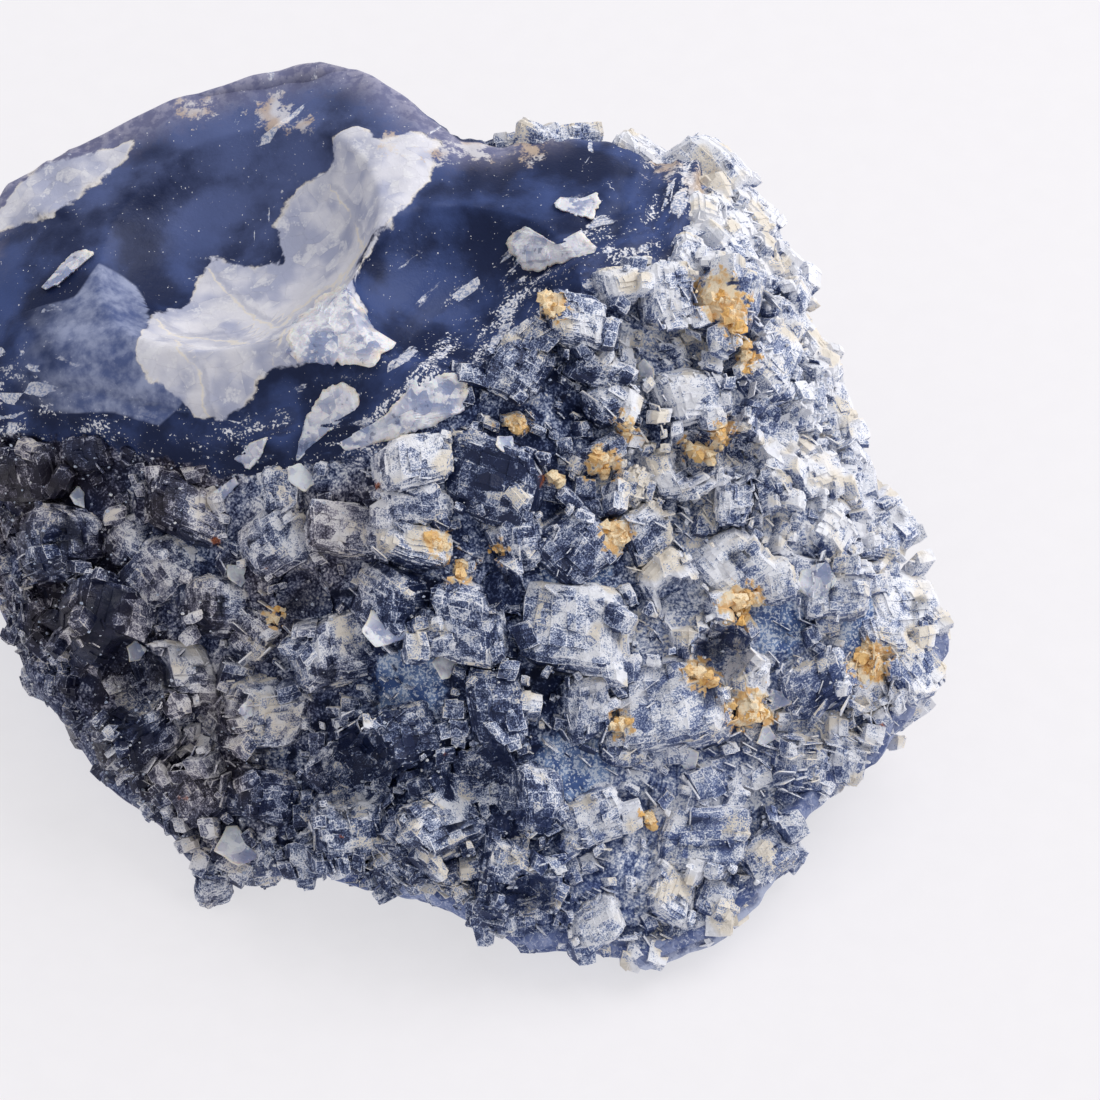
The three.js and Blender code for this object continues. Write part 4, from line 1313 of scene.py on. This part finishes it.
def hollow_depth(points):
    """How much further out the middle of the neighbourhood lies than the point, in mm."""
    away = points - STONE_MIDDLE
    direction = away / np.linalg.norm(away, axis=1, keepdims=True)
    depth = ((middle_near[cube_of(points)] - points) * direction).sum(1)
    return np.where(count_near[cube_of(points)] > FEWEST, np.clip(depth, -DEEPEST, DEEPEST), 0)


large_depths = np.percentile(hollow_depth(large_points), [5, 50, 95])
print("hollow depth of the large blocks, mm:", large_depths.round(2))

# %% [markdown]
# ## Shader maths that reads like maths
#
# A finish is a set of numbers that vary over the surface, and Blender works them out with nodes. Wiring
# dozens of nodes by hand hides the idea, so one small class wraps an output socket: adding or multiplying
# two of them adds the node that does it. Colours are mixed by a mask, never added as numbers.

# %% Fields
class Field:
    """A number, colour or direction that varies over a surface: one output socket of a shader."""

    def __init__(self, tree, socket=None):
        self.tree = tree
        self.socket = socket

    def add(self, kind, settings, values, output=0):
        """An output of a new node: its settings come first, then the values or links of its sockets."""
        node = self.tree.nodes.new("ShaderNode" + kind)
        for name, value in settings.items():
            setattr(node, name, value)
        for key, value in values.items():
            if isinstance(value, Field):
                self.tree.links.new(value.socket, node.inputs[key])
            else:
                node.inputs[key].default_value = value
        return Field(self.tree, node.outputs[output])

    def maths(self, operation, *others):
        """A Math node on this number and the others."""
        return self.add("Math", {"operation": operation}, dict(enumerate((self,) + others)))

    def __add__(self, other):
        return self.maths("ADD", other)

    def __mul__(self, other):
        return self.maths("MULTIPLY", other)

    def __sub__(self, other):
        return self.maths("SUBTRACT", other)

    def __rsub__(self, other):
        return self * -1 + other

    __radd__ = __add__
    __rmul__ = __mul__

    def vector(self, operation, other, output=0):
        """A Vector Math node on this direction or colour and another."""
        return self.add("VectorMath", {"operation": operation}, {0: self, 1: other}, output)

    def beside(self, output):
        """Another output of the same node."""
        return Field(self.tree, self.socket.node.outputs[output])

    def least(self, other):
        """The smaller of two numbers."""
        return self.maths("MINIMUM", other)

    def most(self, other):
        """The larger of two numbers."""
        return self.maths("MAXIMUM", other)

    def rise(self, low, high):
        """Nought below low, one above high, and a smooth rise between."""
        settings = {"interpolation_type": "SMOOTHSTEP"}
        return self.add("MapRange", settings, {0: self, 1: float(low), 2: float(high)})

    def fall(self, low, high):
        """One below low, nought above high, and a smooth fall between."""
        return 1 - self.rise(low, high)

    def band(self, middle, near, far):
        """One within near of a middle value, nought beyond far, and a smooth fall between."""
        return (self - middle).maths("ABSOLUTE").fall(near, far)

    def between(self, low, high):
        """The colour low where this mask is nought, high where it is one."""
        return self.add("Mix", {"data_type": "RGBA"}, {0: self, 6: low, 7: high}, 2)


print("methods of a field:", len([name for name in vars(Field) if not name.startswith("__")]))

# %% [markdown]
# Colours are given as they look on a screen and are turned into amounts of light, because light adds up
# and screen values don't. Each finish starts from a new material and its shader, and ends by feeding the
# shader's sockets.

# %% Paint and new finishes
def paint(red, green, blue):
    """A colour as seen on a screen, 0 to 255 each, turned into amounts of light."""
    seen = np.array([red, green, blue]) / 255
    light = np.where(seen <= 0.04045, seen / 12.92, ((seen + 0.055) / 1.055) ** 2.4)
    return (*light, 1.0)


def new_finish(name):
    """A material, its shader, and an empty field to start its maths from."""
    material = bpy.data.materials.new(name)
    material.use_nodes = True
    shader = material.node_tree.nodes["Principled BSDF"]
    return material, shader, Field(material.node_tree)


def feed(shader, **inputs):
    """Sets or links the shader's sockets, written with underscores for spaces."""
    for name, value in inputs.items():
        socket = shader.inputs[name.replace("_", " ")]
        if isinstance(value, Field):
            value.tree.links.new(value.socket, socket)
        else:
            socket.default_value = value


print("paint of mid grey:", np.round(paint(128, 128, 128), 3))

# %% [markdown]
# A finish reads three kinds of things: numbers stored with the mesh, rolling noise, and small faces that
# each slope their own way. A bump then turns a height into a tilt of the surface, which catches the light
# as real relief does.

# %% What a finish reads
def number(start, name):
    """A number that was stored with the points of the mesh."""
    return start.add("Attribute", {"attribute_name": name}, {}, "Fac")


def four_edges(start, *names):
    """Distances from the two low and the two high edges, as stored with the corners, and the least."""
    both = [start.add("Attribute", {"attribute_name": name}, {}, "Vector") for name in names]
    sides = [start.add("SeparateXYZ", {}, {0: stored}, axis) for stored in both for axis in (0, 1)]
    return sides, sides[0].least(sides[1]).least(sides[2].least(sides[3]))


def rolling(start, size, detail=2.0, rough=0.5, warp=0.0, where=None):
    """Rolling noise with lumps of a size in mm, on the object's own coordinates."""
    spot = where or start.add("TexCoord", {}, {}, "Object")
    scale = 1 / size if where else 1 / (size * MM)
    values = {"Vector": spot, "Scale": scale, "Detail": detail, "Roughness": rough, "Distortion": warp}
    return start.add("TexNoise", {}, values, "Fac")


def broken_faces(start, size):
    """Faces of a size in mm that each slope their own way: height in mm, a chance for each, share out.

    A cell's colour is a chance direction. The height is that direction times the way from the cell's
    middle, so every cell is a flat facet. The share out grows from the cell's middle to its edge.
    """
    spot = start.add("TexCoord", {}, {}, "Object")
    chances = start.add("TexVoronoi", {}, {"Vector": spot, "Scale": 1 / (size * MM)}, "Color")
    from_middle = spot.vector("SUBTRACT", chances.beside("Position"))
    slope = chances.vector("SUBTRACT", (0.5, 0.5, 0.5))
    height = from_middle.vector("DOT_PRODUCT", slope, "Value") * (1 / MM)
    return height, start.add("SeparateXYZ", {}, {0: chances}, 0), chances.beside("Distance")


def bump(start, height, strength):
    """A normal tilted by a height in mm."""
    return start.add("Bump", {}, {"Strength": strength, "Distance": MM, "Height": height})


print("noise scale for lumps of 1 mm:", 1 / MM)

# %% [markdown]
# ## The finish of the crust
#
# Close up, a crystal face is dark slate blue under a frost of pale grains, and it is broken into small
# facets that each catch the light their own way. The frost is thick on some blocks and thin on others.
# Every edge is painted bright, partly frost and partly a painted highlight. Thin lines follow the
# outline of a face, because the plates under it ended in steps. Warm cream and ochre gather in
# patches, and hollows get painted shade in a glassy navy.

# %% Dusty colours
def dusty_colours(frost_and_painted_shading, hollow_shade, umber_and_shade, warm, clear_and_backlit):
    """Navy, slate blue, pale blue and white by the thickness of frost, and how the place changes them.

    The tones turn a dull umber on the shaded left, partly the crust's tint and partly painted shade.
    At the lower right the dark tones turn a lighter blue, for clearer stone and painted light coming
    through it. Hollows get painted shade, the darkest navy.
    """
    # On the shaded left the tones turn umber and dimmer: partly the crust's tint, partly painted shade.
    deep = umber_and_shade.between(clear_and_backlit.between(paint(27, 38, 72), paint(62, 78, 126)), paint(34, 30, 42))
    middle = umber_and_shade.between(clear_and_backlit.between(paint(84, 98, 136), paint(104, 120, 164)), paint(88, 85, 101))
    pale = umber_and_shade.between(paint(172, 182, 206), paint(168, 163, 173))
    bright = warm.rise(0.52, 0.64).between(paint(242, 243, 248), paint(236, 228, 215))
    bright = (umber_and_shade * 0.6).between(bright, paint(212, 204, 200))
    colour = frost_and_painted_shading.rise(0.0, 0.45).between(deep, middle)
    colour = frost_and_painted_shading.rise(0.36, 0.74).between(colour, pale)
    colour = frost_and_painted_shading.rise(0.70, 1.0).between(colour, bright)
    # Painted shade: hollows are darkened to deep navy, less where the stone is clear and lit through.
    return (hollow_shade.rise(0.05, 0.55) * (0.85 - clear_and_backlit * 0.3)).between(colour, paint(13, 20, 44))


print("dusty colours ready")

# %% [markdown]
# How thick the frost lies is a sum. Grain and mottle break it up, and each facet and each block has a
# chance of its own. Faces that turn up and to the right, towards the key light, are painted paler and a
# little warmer, which is painted light. Edges, rims, steps, rings and scratches are lines of their own
# that are added to it.

# %% Crust finish
# The way that paler faces turn: up and to the right, where the key light comes from. This is painted light.
PAINTED_LIGHT_FROM = (0.25, 0.45, 0.86)


def crust_finish(name):
    """Frost by facets, grains, mottle and block, bright edges, rings and lines, ochre stains and rust."""
    material, shader, start = new_finish(name)
    hollow_shade = number(start, "hollow_shade")
    umber_and_shade = number(start, "umber_and_shade")
    # Painted light: faces that turn towards the key light are painted paler and a warmer white.
    painted_light_facing = start.add("TexCoord", {}, {}, "Normal").vector("DOT_PRODUCT", PAINTED_LIGHT_FROM, "Value")
    grain = rolling(start, 0.10, 1, 0.6)
    mottle = rolling(start, 0.6, 2, 0.6)
    region = rolling(start, 2.6, 1)
    facet, chance, away = broken_faces(start, 0.75)
    _, edge = four_edges(start, "from_edge", "to_edge")
    faces, inward = four_edges(start, "from_face", "to_face")
    tone = number(start, "tone")
    along = start.add("CombineXYZ", {}, {0: faces[0] * 0.7, 1: faces[1] * 3.6, 2: tone * 40 + mottle})
    scratch = rolling(start, 1.0, 1, 0.6, 0.0, along)
    scratch = scratch.band(0.5, 0.0, 0.035)
    # Plate edges and face outlines are painted pale: partly frost, partly a painted highlight.
    edge_frost_and_highlight = edge.fall(0.0, 0.06) * mottle.rise(0.46, 0.56)
    rim = inward.fall(0.0, 0.08)
    terrace = ((inward + mottle * 0.8) * 1.6).maths("FRACT")
    line = terrace.band(0.5, 0.0, 0.08)
    ring = (away * 3.2 + mottle).maths("FRACT")
    ring = ring.band(0.5, 0.0, 0.12) * chance.rise(0.45, 0.6)
    fine = (grain * 1.75 + mottle * 0.75 - 1.245) * (1 - umber_and_shade * 0.3)
    # Painted shade: hollows get less frost, and places that stand out get more.
    by_face = chance * 0.60 + tone * 0.60 + painted_light_facing * 0.34 - hollow_shade * 0.45
    lines = edge_frost_and_highlight * 0.36 + rim * 0.36 + (line + scratch) * region.rise(0.40, 0.55) * 0.30 + ring * 0.26
    frost_and_painted_shading = (fine + region * 0.7 + by_face + lines - 0.97) * 1.05
    colour = dusty_colours(frost_and_painted_shading, hollow_shade, umber_and_shade, region + painted_light_facing * 0.06 - 0.03, number(start, "clear_and_backlit"))
    ochre = (number(start, "ochre") + mottle * 2.6 + chance * 0.6).rise(1.55, 1.9)
    ochre_colour = mottle.rise(0.44, 0.64).between(paint(250, 232, 196), paint(238, 188, 110))
    colour = (ochre * 0.85).between(colour, ochre_colour)
    rust = (number(start, "rust") + mottle * 0.5).rise(0.22, 0.4)
    rust_colour = grain.rise(0.4, 0.6).between(paint(112, 56, 30), paint(190, 104, 48))
    colour = (rust * 0.9).between(colour, rust_colour)
    height = facet * 0.95 + grain * 0.05 + mottle * 0.14
    feed(shader, Base_Color=colour, Roughness=0.38 + frost_and_painted_shading.rise(0.0, 1.0) * 0.38)
    feed(shader, Normal=bump(start, height, 0.8), Specular_IOR_Level=0.3)
    return material


print("crust finish ready")

# %% [markdown]
# ## The finish of the broken top
#
# A fresh break in chalcedony is glassy: dark navy where the light goes in and doesn't come back, brighter
# blue where the stone is thin or cloudy. Crushed flecks lie along the flow of the break. Each look below
# is a function that takes the fields it shares with the others.

# %% Glassy break
def glassy_break(start, beyond, cloud, mottle, grain):
    """Navy to blue by clouds, with wisps and crushed flecks that lie along the border of the crust."""
    flow = start.add("CombineXYZ", {}, {0: number(start, "along") * 0.30, 1: beyond * 0.8, 2: mottle * 0.5})
    stripe = rolling(start, 1.0, 4, 0.65, 0.0, flow)
    near_border = beyond.fall(2.0, 6.5)
    glass = (cloud * 0.85 + mottle * 0.15).rise(0.40, 0.62).between(paint(28, 38, 70), paint(62, 79, 128))
    dull = (stripe * 0.5 + cloud * 0.5).rise(0.50, 0.60) * near_border
    glass = (dull * 0.6).between(glass, paint(38, 40, 60))
    glass = (stripe.rise(0.50, 0.66) * near_border * 0.6).between(glass, paint(76, 94, 138))
    rear = beyond.rise(8.0, 18.0) * (cloud * 0.8 + mottle * 0.2).rise(0.26, 0.58)
    glass = (rear * 0.65).between(glass, paint(98, 110, 153))
    thin = (number(start, "inside") + mottle * 3.4).fall(1.6, 4.4) * beyond.rise(8.0, 12.0)
    thin_colour = mottle.rise(0.40, 0.62).between(paint(126, 126, 156), paint(184, 180, 198))
    glass = (thin * 0.75).between(glass, thin_colour)
    wisp = (stripe * 1.3 + mottle * 0.4 + grain * 0.6 + near_border * 0.16).rise(1.42, 1.52)
    wisp = wisp * (0.1 + near_border * 0.9)
    dust = (grain + mottle * 0.45 + near_border * 0.05).rise(0.98, 1.04)
    chance = start.add("TexVoronoi", {}, {"Vector": flow, "Scale": 1.9}, "Color")
    chance = start.add("SeparateXYZ", {}, {0: chance}, 0)
    crushed = (chance + (stripe - 0.5) * 0.5 + near_border * 0.12).rise(1.0, 1.03)
    fleck = wisp.most(dust * 0.9).most(crushed * 0.85)
    fleck_colour = grain.rise(0.35, 0.6).between(paint(158, 170, 200), paint(240, 239, 242))
    return fleck.between(glass, fleck_colour), fleck


print("glassy break ready")

# %% [markdown]
# Milky sheets lie on the glass like frost on a window. They have a warm rim where the light catches their
# thin edge, and cream seams where one sheet ends on the next, each with a faint shadow on one side. A
# cloudy veil is the same milkiness deeper down, so it is weaker and has no rim.

# %% Pale sheets
def pale_sheets(start, glass, cloud, mottle, grain, chance):
    """Milky sheets of flat pieces with a warm rim, cloudy veils, cream seams, cream marks at the rim."""
    patch = rolling(start, 2.4, 2)
    veil = (number(start, "veil") + (patch - 0.5) * 0.8).rise(0.0, 0.9)
    veil_colour = (mottle * 0.5 + patch * 0.5).rise(0.36, 0.66)
    veil_colour = veil_colour.between(paint(88, 102, 146), paint(166, 174, 202))
    glass = (veil * 0.85).between(glass, veil_colour)
    depth = number(start, "sheet") + (mottle - 0.5) * 0.8 + (patch - 0.5) * 1.4
    sheet = depth.rise(0.0, 0.2)
    milky = (cloud * 0.4 + patch * 0.6 + chance * 0.10).rise(0.44, 0.64)
    milky = milky.between(paint(180, 184, 206), paint(230, 229, 236))
    frosty = (mottle + grain * 0.3 + chance * 0.25).rise(0.84, 0.98)
    milky = (frosty * 0.6).between(milky, paint(246, 245, 247))
    rim = depth.fall(0.08, 0.34) * patch.rise(0.46, 0.58)
    beside = number(start, "seam_side") + (mottle - 0.5) * 0.7
    close = number(start, "seam").rise(-0.8, -0.5) * patch.rise(0.36, 0.46)
    seam = beside.maths("ABSOLUTE").fall(0.01, 0.12) * close
    haze = (number(start, "seam") + patch * 2.4).rise(0.0, 1.1)
    milky = (haze * 0.4).between(milky, paint(240, 237, 238))
    shadow = beside.band(0.30, 0.04, 0.30) * close
    milky = (shadow * 0.28).between(milky, paint(112, 122, 158))
    milky = (rim * 0.8).most(seam * 0.75).between(milky, paint(246, 236, 218))
    glass = (sheet * 0.94).between(glass, milky)
    cream = (number(start, "cream") + (mottle - 0.5) * 4.0 + (grain - 0.5) * 1.5).rise(0.2, 0.9)
    cream_colour = patch.rise(0.4, 0.6).between(paint(214, 190, 164), paint(232, 229, 230))
    return (cream * 0.7).between(glass, cream_colour), sheet


print("pale sheets ready")

# %% [markdown]
# Under the crust the same body shows as a rough, dusty bed with the crust's own colours. In a few windows
# it is sugary and light blue, and along its bare foot the stone is thin and clear, with rings and
# scratches in it. A pale line along the rim of the foot is painted light, as if light came through the
# thin edge, and on the shaded left the foot is painted darker, which is painted shade.

# %% Rough bed
def rough_bed(start, cloud, mottle, grain, chance, away):
    """The bed under the crystals, sugary blue windows in it, and the clear thin foot with its rings."""
    hollow_shade = number(start, "hollow_shade")
    umber_and_shade = number(start, "umber_and_shade")
    # Painted shade: the bed is darker in its hollows too.
    by_face = chance * 0.4 + number(start, "tone") * 0.6 - hollow_shade * 0.45
    frost_and_painted_shading = (grain * 1.75 + mottle * 1.2 + cloud * 0.7 + by_face - 1.90) * 1.05
    bed = dusty_colours(frost_and_painted_shading, hollow_shade, umber_and_shade, cloud, number(start, "clear_and_backlit"))
    sugar = (number(start, "sugar") + (mottle - 0.5) * 3.0).rise(-0.3, 0.5)
    dots = (grain + mottle * 0.3 + chance * 0.08).rise(0.70, 0.78)
    sugar_blue = (mottle + chance * 0.2).rise(0.45, 0.78).between(paint(72, 98, 152), paint(140, 166, 208))
    sugary = (dots * 0.85).between(sugar_blue, paint(226, 234, 246))
    bed = (sugar * 0.9).between(bed, sugary)
    # The foot's blue is lighter where this mask is high: clear stone, and painted light coming through it.
    clear_and_backlit = (mottle * 0.5 + cloud * 0.5 + chance * 0.35).rise(0.45, 0.95)
    clear_colour = clear_and_backlit.between(paint(62, 78, 128), paint(138, 152, 194))
    # Painted shade: on the shaded left the foot is darkened.
    clear_colour = (number(start, "shade") * 0.8).between(clear_colour, paint(38, 42, 66))
    ring = (away * 3.0 + mottle).maths("FRACT")
    ring = ring.band(0.5, 0.0, 0.10) * chance.rise(0.3, 0.5)
    scratch = mottle.band(0.5, 0.0, 0.025).most(ring)
    clear_colour = (scratch * grain.rise(0.4, 0.55) * 0.7).between(clear_colour, paint(206, 212, 230))
    # Painted light: a pale blue line along the rim of the foot, as if light came through its thin edge,
    # fainter on the shaded left.
    bright = (number(start, "edge") + mottle * 0.3).rise(1.05, 1.15)
    bright = bright * (1 - number(start, "shade") * 0.8)
    clear_colour = (bright * 0.7).between(clear_colour, paint(196, 206, 232))
    foot = (number(start, "foot") + (mottle - 0.5) * 0.8).rise(0.25, 0.6)
    return (foot * 0.88).between(bed, clear_colour)


print("rough bed ready")

# %% [markdown]
# The three looks share one material. How far a place lies beyond the border line, made uneven by the
# mottle, tells which of them shows.

# %% Body finish
def body_finish():
    """Navy glass with flecks, veils, sheets and cream marks on the smooth side, and the bed beside it."""
    material, shader, start = new_finish("blue_chalcedony_body")
    beyond = number(start, "beyond")
    mottle = rolling(start, 0.8, 3, 0.6)
    grain = rolling(start, 0.17, 1, 0.6)
    cloud = rolling(start, 5.0, 2)
    facet, chance, away = broken_faces(start, 1.2)
    glass, fleck = glassy_break(start, beyond, cloud, mottle, grain)
    glass, sheet = pale_sheets(start, glass, cloud, mottle, grain, chance)
    bed = rough_bed(start, cloud, mottle, grain, chance, away)
    smooth = (beyond + (mottle - 0.5) * 2.2).rise(-0.5, 0.1)
    colour = smooth.between(bed, glass)
    rough = (1 - smooth) * 0.16 + (sheet + fleck).least(1) * 0.16 + 0.42
    height = mottle * 0.06 + grain * 0.02 + facet * ((1 - smooth) * 0.5 + sheet * 0.30)
    feed(shader, Base_Color=colour, Roughness=rough, Normal=bump(start, height, 0.8))
    feed(shader, Specular_IOR_Level=0.14)
    return material


print("body finish ready")

# %% [markdown]
# ## The finish of chips, flakes and crumbs
#
# A chip is the same stone made so thin that it looks milky. Its rim is warmer and brighter than its
# middle. The crumbs are dull dried clay, from pale straw to deep ochre, each a little different.

# %% Chip, crumb and grain finishes
def chip_finish():
    """Milky grey blue, cloudy inside, cream and bright along the broken rim."""
    material, shader, start = new_finish("pale_chip")
    mottle = rolling(start, 0.7, 3, 0.65)
    cloud = rolling(start, 2.4, 2)
    facet, chance, _ = broken_faces(start, 0.8)
    body = (cloud + chance * 0.20).rise(0.42, 0.72).between(paint(142, 152, 184), paint(222, 222, 231))
    rim = number(start, "share").rise(0.78, 0.98) * cloud.rise(0.42, 0.54)
    colour = (rim * 0.8).between(body, paint(242, 229, 208))
    frosty = (mottle + chance * 0.2).rise(0.58, 0.70)
    colour = (frosty * 0.75).between(colour, paint(244, 243, 244))
    colour = (mottle.fall(0.30, 0.38) * 0.6).between(colour, paint(66, 80, 118))
    height = mottle * 0.12 + facet * 0.35
    feed(shader, Base_Color=colour, Roughness=0.36 + mottle * 0.3, Normal=bump(start, height, 0.7))
    feed(shader, Specular_IOR_Level=0.35, Subsurface_Weight=0.15, Subsurface_Scale=0.001)
    return material


def crumb_finish():
    """Straw to ochre by crumb, with darker pits."""
    material, shader, start = new_finish("ochre_crumbs")
    tone = number(start, "tone")
    grain = rolling(start, 0.12, 2, 0.6)
    colour = tone.rise(0.2, 1.0).between(paint(250, 232, 196), paint(236, 190, 116))
    colour = (grain.fall(0.36, 0.5) * 0.6).between(colour, paint(214, 164, 100))
    feed(shader, Base_Color=colour, Roughness=0.85, Normal=bump(start, grain * 0.05, 0.8))
    return material


def grain_finish():
    """Dull white to grey blue by grain."""
    material, shader, start = new_finish("pale_grains")
    tone = number(start, "tone")
    colour = tone.rise(0.0, 1.0).between(paint(176, 188, 208), paint(232, 230, 226))
    speck = rolling(start, 0.1).rise(0.35, 0.6)
    colour = speck.between(paint(150, 160, 184), colour)
    feed(shader, Base_Color=colour, Roughness=0.7)
    return material


print("three more finishes ready")

# %% [markdown]
# ## Numbers that steer the crust
#
# The crust isn't the same all over. On the left it is umber, dull and dimmer, partly its own tint and
# partly painted shade. At the lower right, and less at the upper right, its dark tones are a lighter
# blue, for clearer stone and painted light coming through it, and on the right it is paler. Each of
# these is a share worked out for every point from its place in the drawing plane, and stored with the
# point for the finish to read.

# %% Shares for the crust
REAR_OUT = -8
REAR_FROST = 0.3


def umber_and_shade_share(points, front):
    """How dull the crust is: one on its own shaded side, in patches, and nought on the right."""
    # Partly painted shade: the side that faces away from the key light is made duller and dimmer.
    patches = eased(0.5 * noise(points, 5.0) + 0.3 * noise(points, 1.6), -0.45, 0.4)
    return front * shaded_side(to_drawn(points)) * patches


def clear_and_backlit_share(points, front):
    """How clear and light the dark tones are: most at the lower right, less at the upper right."""
    # Partly painted light: where the stone is thin at the lower right its dark tones are painted lighter,
    # as if lit through.
    across, up, _ = to_drawn(points).T
    clear_and_backlit = np.maximum(eased(across - 0.6 * up, 13, 24), 0.7 * eased(0.7 * across + 0.7 * up, 14, 20))
    return front * clear_and_backlit * (0.75 + 0.25 * noise(points, 3.0))


def paler_share(points, front):
    """How much paler the crust is than on average: more on the right, less at the far left."""
    drawn = to_drawn(points)
    across, up, _ = drawn.T
    right = 0.70 * eased(across, 5, 13) + 0.20 * eased(0.7 * across + 0.7 * up, 14, 20)
    left = 0.37 * shaded_side(drawn)
    return np.where(front, 0.10 + right + left - 0.66 * eased(-across, 16, 24), REAR_FROST)


def crust_numbers(points, front, tone):
    """The numbers that the crystals and the bed under them both read."""
    return {
        # How deep a point lies in a hollow, which steers the painted shade there.
        "hollow_shade": hollow_depth(points),
        "umber_and_shade": umber_and_shade_share(points, front),
        "clear_and_backlit": clear_and_backlit_share(points, front),
        "tone": tone + paler_share(points, front),
    }


body_numbers.update(crust_numbers(body_points, body_front, 0))
# The shaded side, which steers the painted shade on the foot.
body_numbers["shade"] = shaded_side(to_drawn(body_points))
print("numbers stored with each point of the body:", len(body_numbers))

# %% [markdown]
# ## Setting the pieces down
#
# Now each set of arrays becomes a mesh with its finish. The large and the small blocks are split into
# parts so that none has more triangles than a printable file should.

# %% Pieces
def crystal_pieces(name, made, points, parts, finish):
    """Blocks as a few meshes, cut between blocks, with their numbers and edge maps."""
    _, quads, maps, tones = made
    block_points = np.flatnonzero(np.diff(tones))[0] + 1
    block_count = len(points) // block_points
    for part in range(parts):
        low, high = (block_points * (block_count * turn // parts) for turn in (part, part + 1))
        chosen = (quads[:, 0] >= low) & (quads[:, 0] < high)
        part_maps = {key: pairs[np.repeat(chosen, 4)] for key, pairs in maps.items()}
        part_points = points[low:high]
        across, up, out = to_drawn(part_points).T
        front = out > REAR_OUT
        numbers = crust_numbers(part_points, front, tones[low:high])
        for stain, sites in (("ochre", OCHRE_SITES), ("rust", RUST_SITES)):
            numbers[stain] = np.where(front, nearest_site(across, up, sites), OUT_OF_SIGHT)
        make_piece(f"{name}_{part + 1}", part_points, quads[chosen] - low, numbers, finish, part_maps)


make_piece("stone_body", body_points, body_quads, body_numbers, body_finish(), smooth=True)
dusted = crust_finish("dusted_crystals")
crystal_pieces("large_crystals", large, large_points, 2, dusted)
crystal_pieces("small_crystals", small, small_points, 2, dusted)
crystal_pieces("thin_plates", plates, plate_points, 1, dusted)

pale_chip = chip_finish()
for name, points, quads, numbers, finish in (
    ("lifted_chips", chip_points, chip_quads, {"share": chip_share}, pale_chip),
    ("crust_flakes", flake_points, flake_quads, {"share": flake_share}, pale_chip),
    ("ochre_crumbs", crumb_points, crumb_quads, {"tone": crumb_tone}, crumb_finish()),
    ("pale_grains", grain_points, grain_quads, {"tone": grain_tone}, grain_finish()),
):
    make_piece(name, points, quads, numbers, finish)
print("triangles in all:", sum(2 * len(piece.data.polygons) for piece in pieces))

# %% [markdown]
# ## Floor, light and camera
#
# The stone lies on a plain pale floor that gives an even light of its own, as a light table does, so the
# shadow on it stays faint. The key light is soft and comes from the upper right, a little behind the
# stone, and the pale room fills the shadows.

# %% Floor
FLOOR_SIDE = 3.0
FLOOR_GLOW = 0.67
floor_mesh = bpy.data.meshes.new("floor")
corners = [(x * FLOOR_SIDE / 2, y * FLOOR_SIDE / 2, 0) for x, y in ((-1, -1), (1, -1), (1, 1), (-1, 1))]
floor_mesh.from_pydata(corners, [], [(0, 1, 2, 3)])
floor = set_down("floor", floor_mesh)
material, shader, start = new_finish("pale_floor")
paper = rolling(start, 2.0, 3)
glow = paper.rise(0.2, 0.8).between(paint(247, 246, 248), paint(249, 248, 250))
feed(shader, Base_Color=paint(143, 140, 143), Roughness=0.9)
feed(shader, Emission_Color=glow, Emission_Strength=FLOOR_GLOW)
floor_mesh.materials.append(material)
print("floor side, m:", FLOOR_SIDE)

# %% [markdown]
# The camera's own axes are the drawing's axes, so its matrix is those three directions and its place. It
# stands so far away that the stone's near side isn't widened.

# %% Camera
AIM = np.array([5.85, -1.95, 3.0])
FRAME_WIDTH = 70.6
CAMERA_FAR = 560.0
SENSOR = 36
scene = bpy.context.scene

camera_data = bpy.data.cameras.new("camera")
camera = set_down("camera", camera_data)
camera_data.sensor_width = SENSOR
camera_data.lens = SENSOR * CAMERA_FAR / FRAME_WIDTH
camera_data.clip_start = 0.01
facing = Matrix(np.column_stack([ACROSS, UP, OUT]).tolist()).to_4x4()
facing.translation = Vector((place(AIM) + OUT * CAMERA_FAR) * MM)
camera.matrix_world = facing
scene.camera = camera
print("lens, mm:", round(camera_data.lens, 1))

# %% [markdown]
# One square light, nearly as wide as it is far away, gives soft shadow edges. The even light of the room
# is a little blue, as the light under an open sky is.

# %% Key light and room
KEY_FROM = Vector((0.62, 0.34, 0.72)).normalized()
KEY_FAR = 0.55
KEY_SIDE = 0.45
KEY_POWER = 2.15
KEY_COLOUR = (1.0, 0.99, 0.985)
LIT_POINT = Vector((0, 0, 0.012))
ROOM_COLOUR = (0.95, 0.955, 1.0, 1)
ROOM_STRENGTH = 0.60

key_data = bpy.data.lights.new("key", "AREA")
key_data.size = KEY_SIDE
key_data.energy = KEY_POWER
key_data.color = KEY_COLOUR
key = set_down("key", key_data)
key.location = LIT_POINT + KEY_FROM * KEY_FAR
key.rotation_euler = KEY_FROM.to_track_quat("Z", "Y").to_euler()

world = bpy.data.worlds.new("pale_room")
world.use_nodes = True
background = world.node_tree.nodes["Background"]
background.inputs["Color"].default_value = ROOM_COLOUR
background.inputs["Strength"].default_value = ROOM_STRENGTH
scene.world = world
scene.view_settings.view_transform = "Standard"
print("key light's power, W:", KEY_POWER)

# %% Update the scene
bpy.context.view_layer.update()
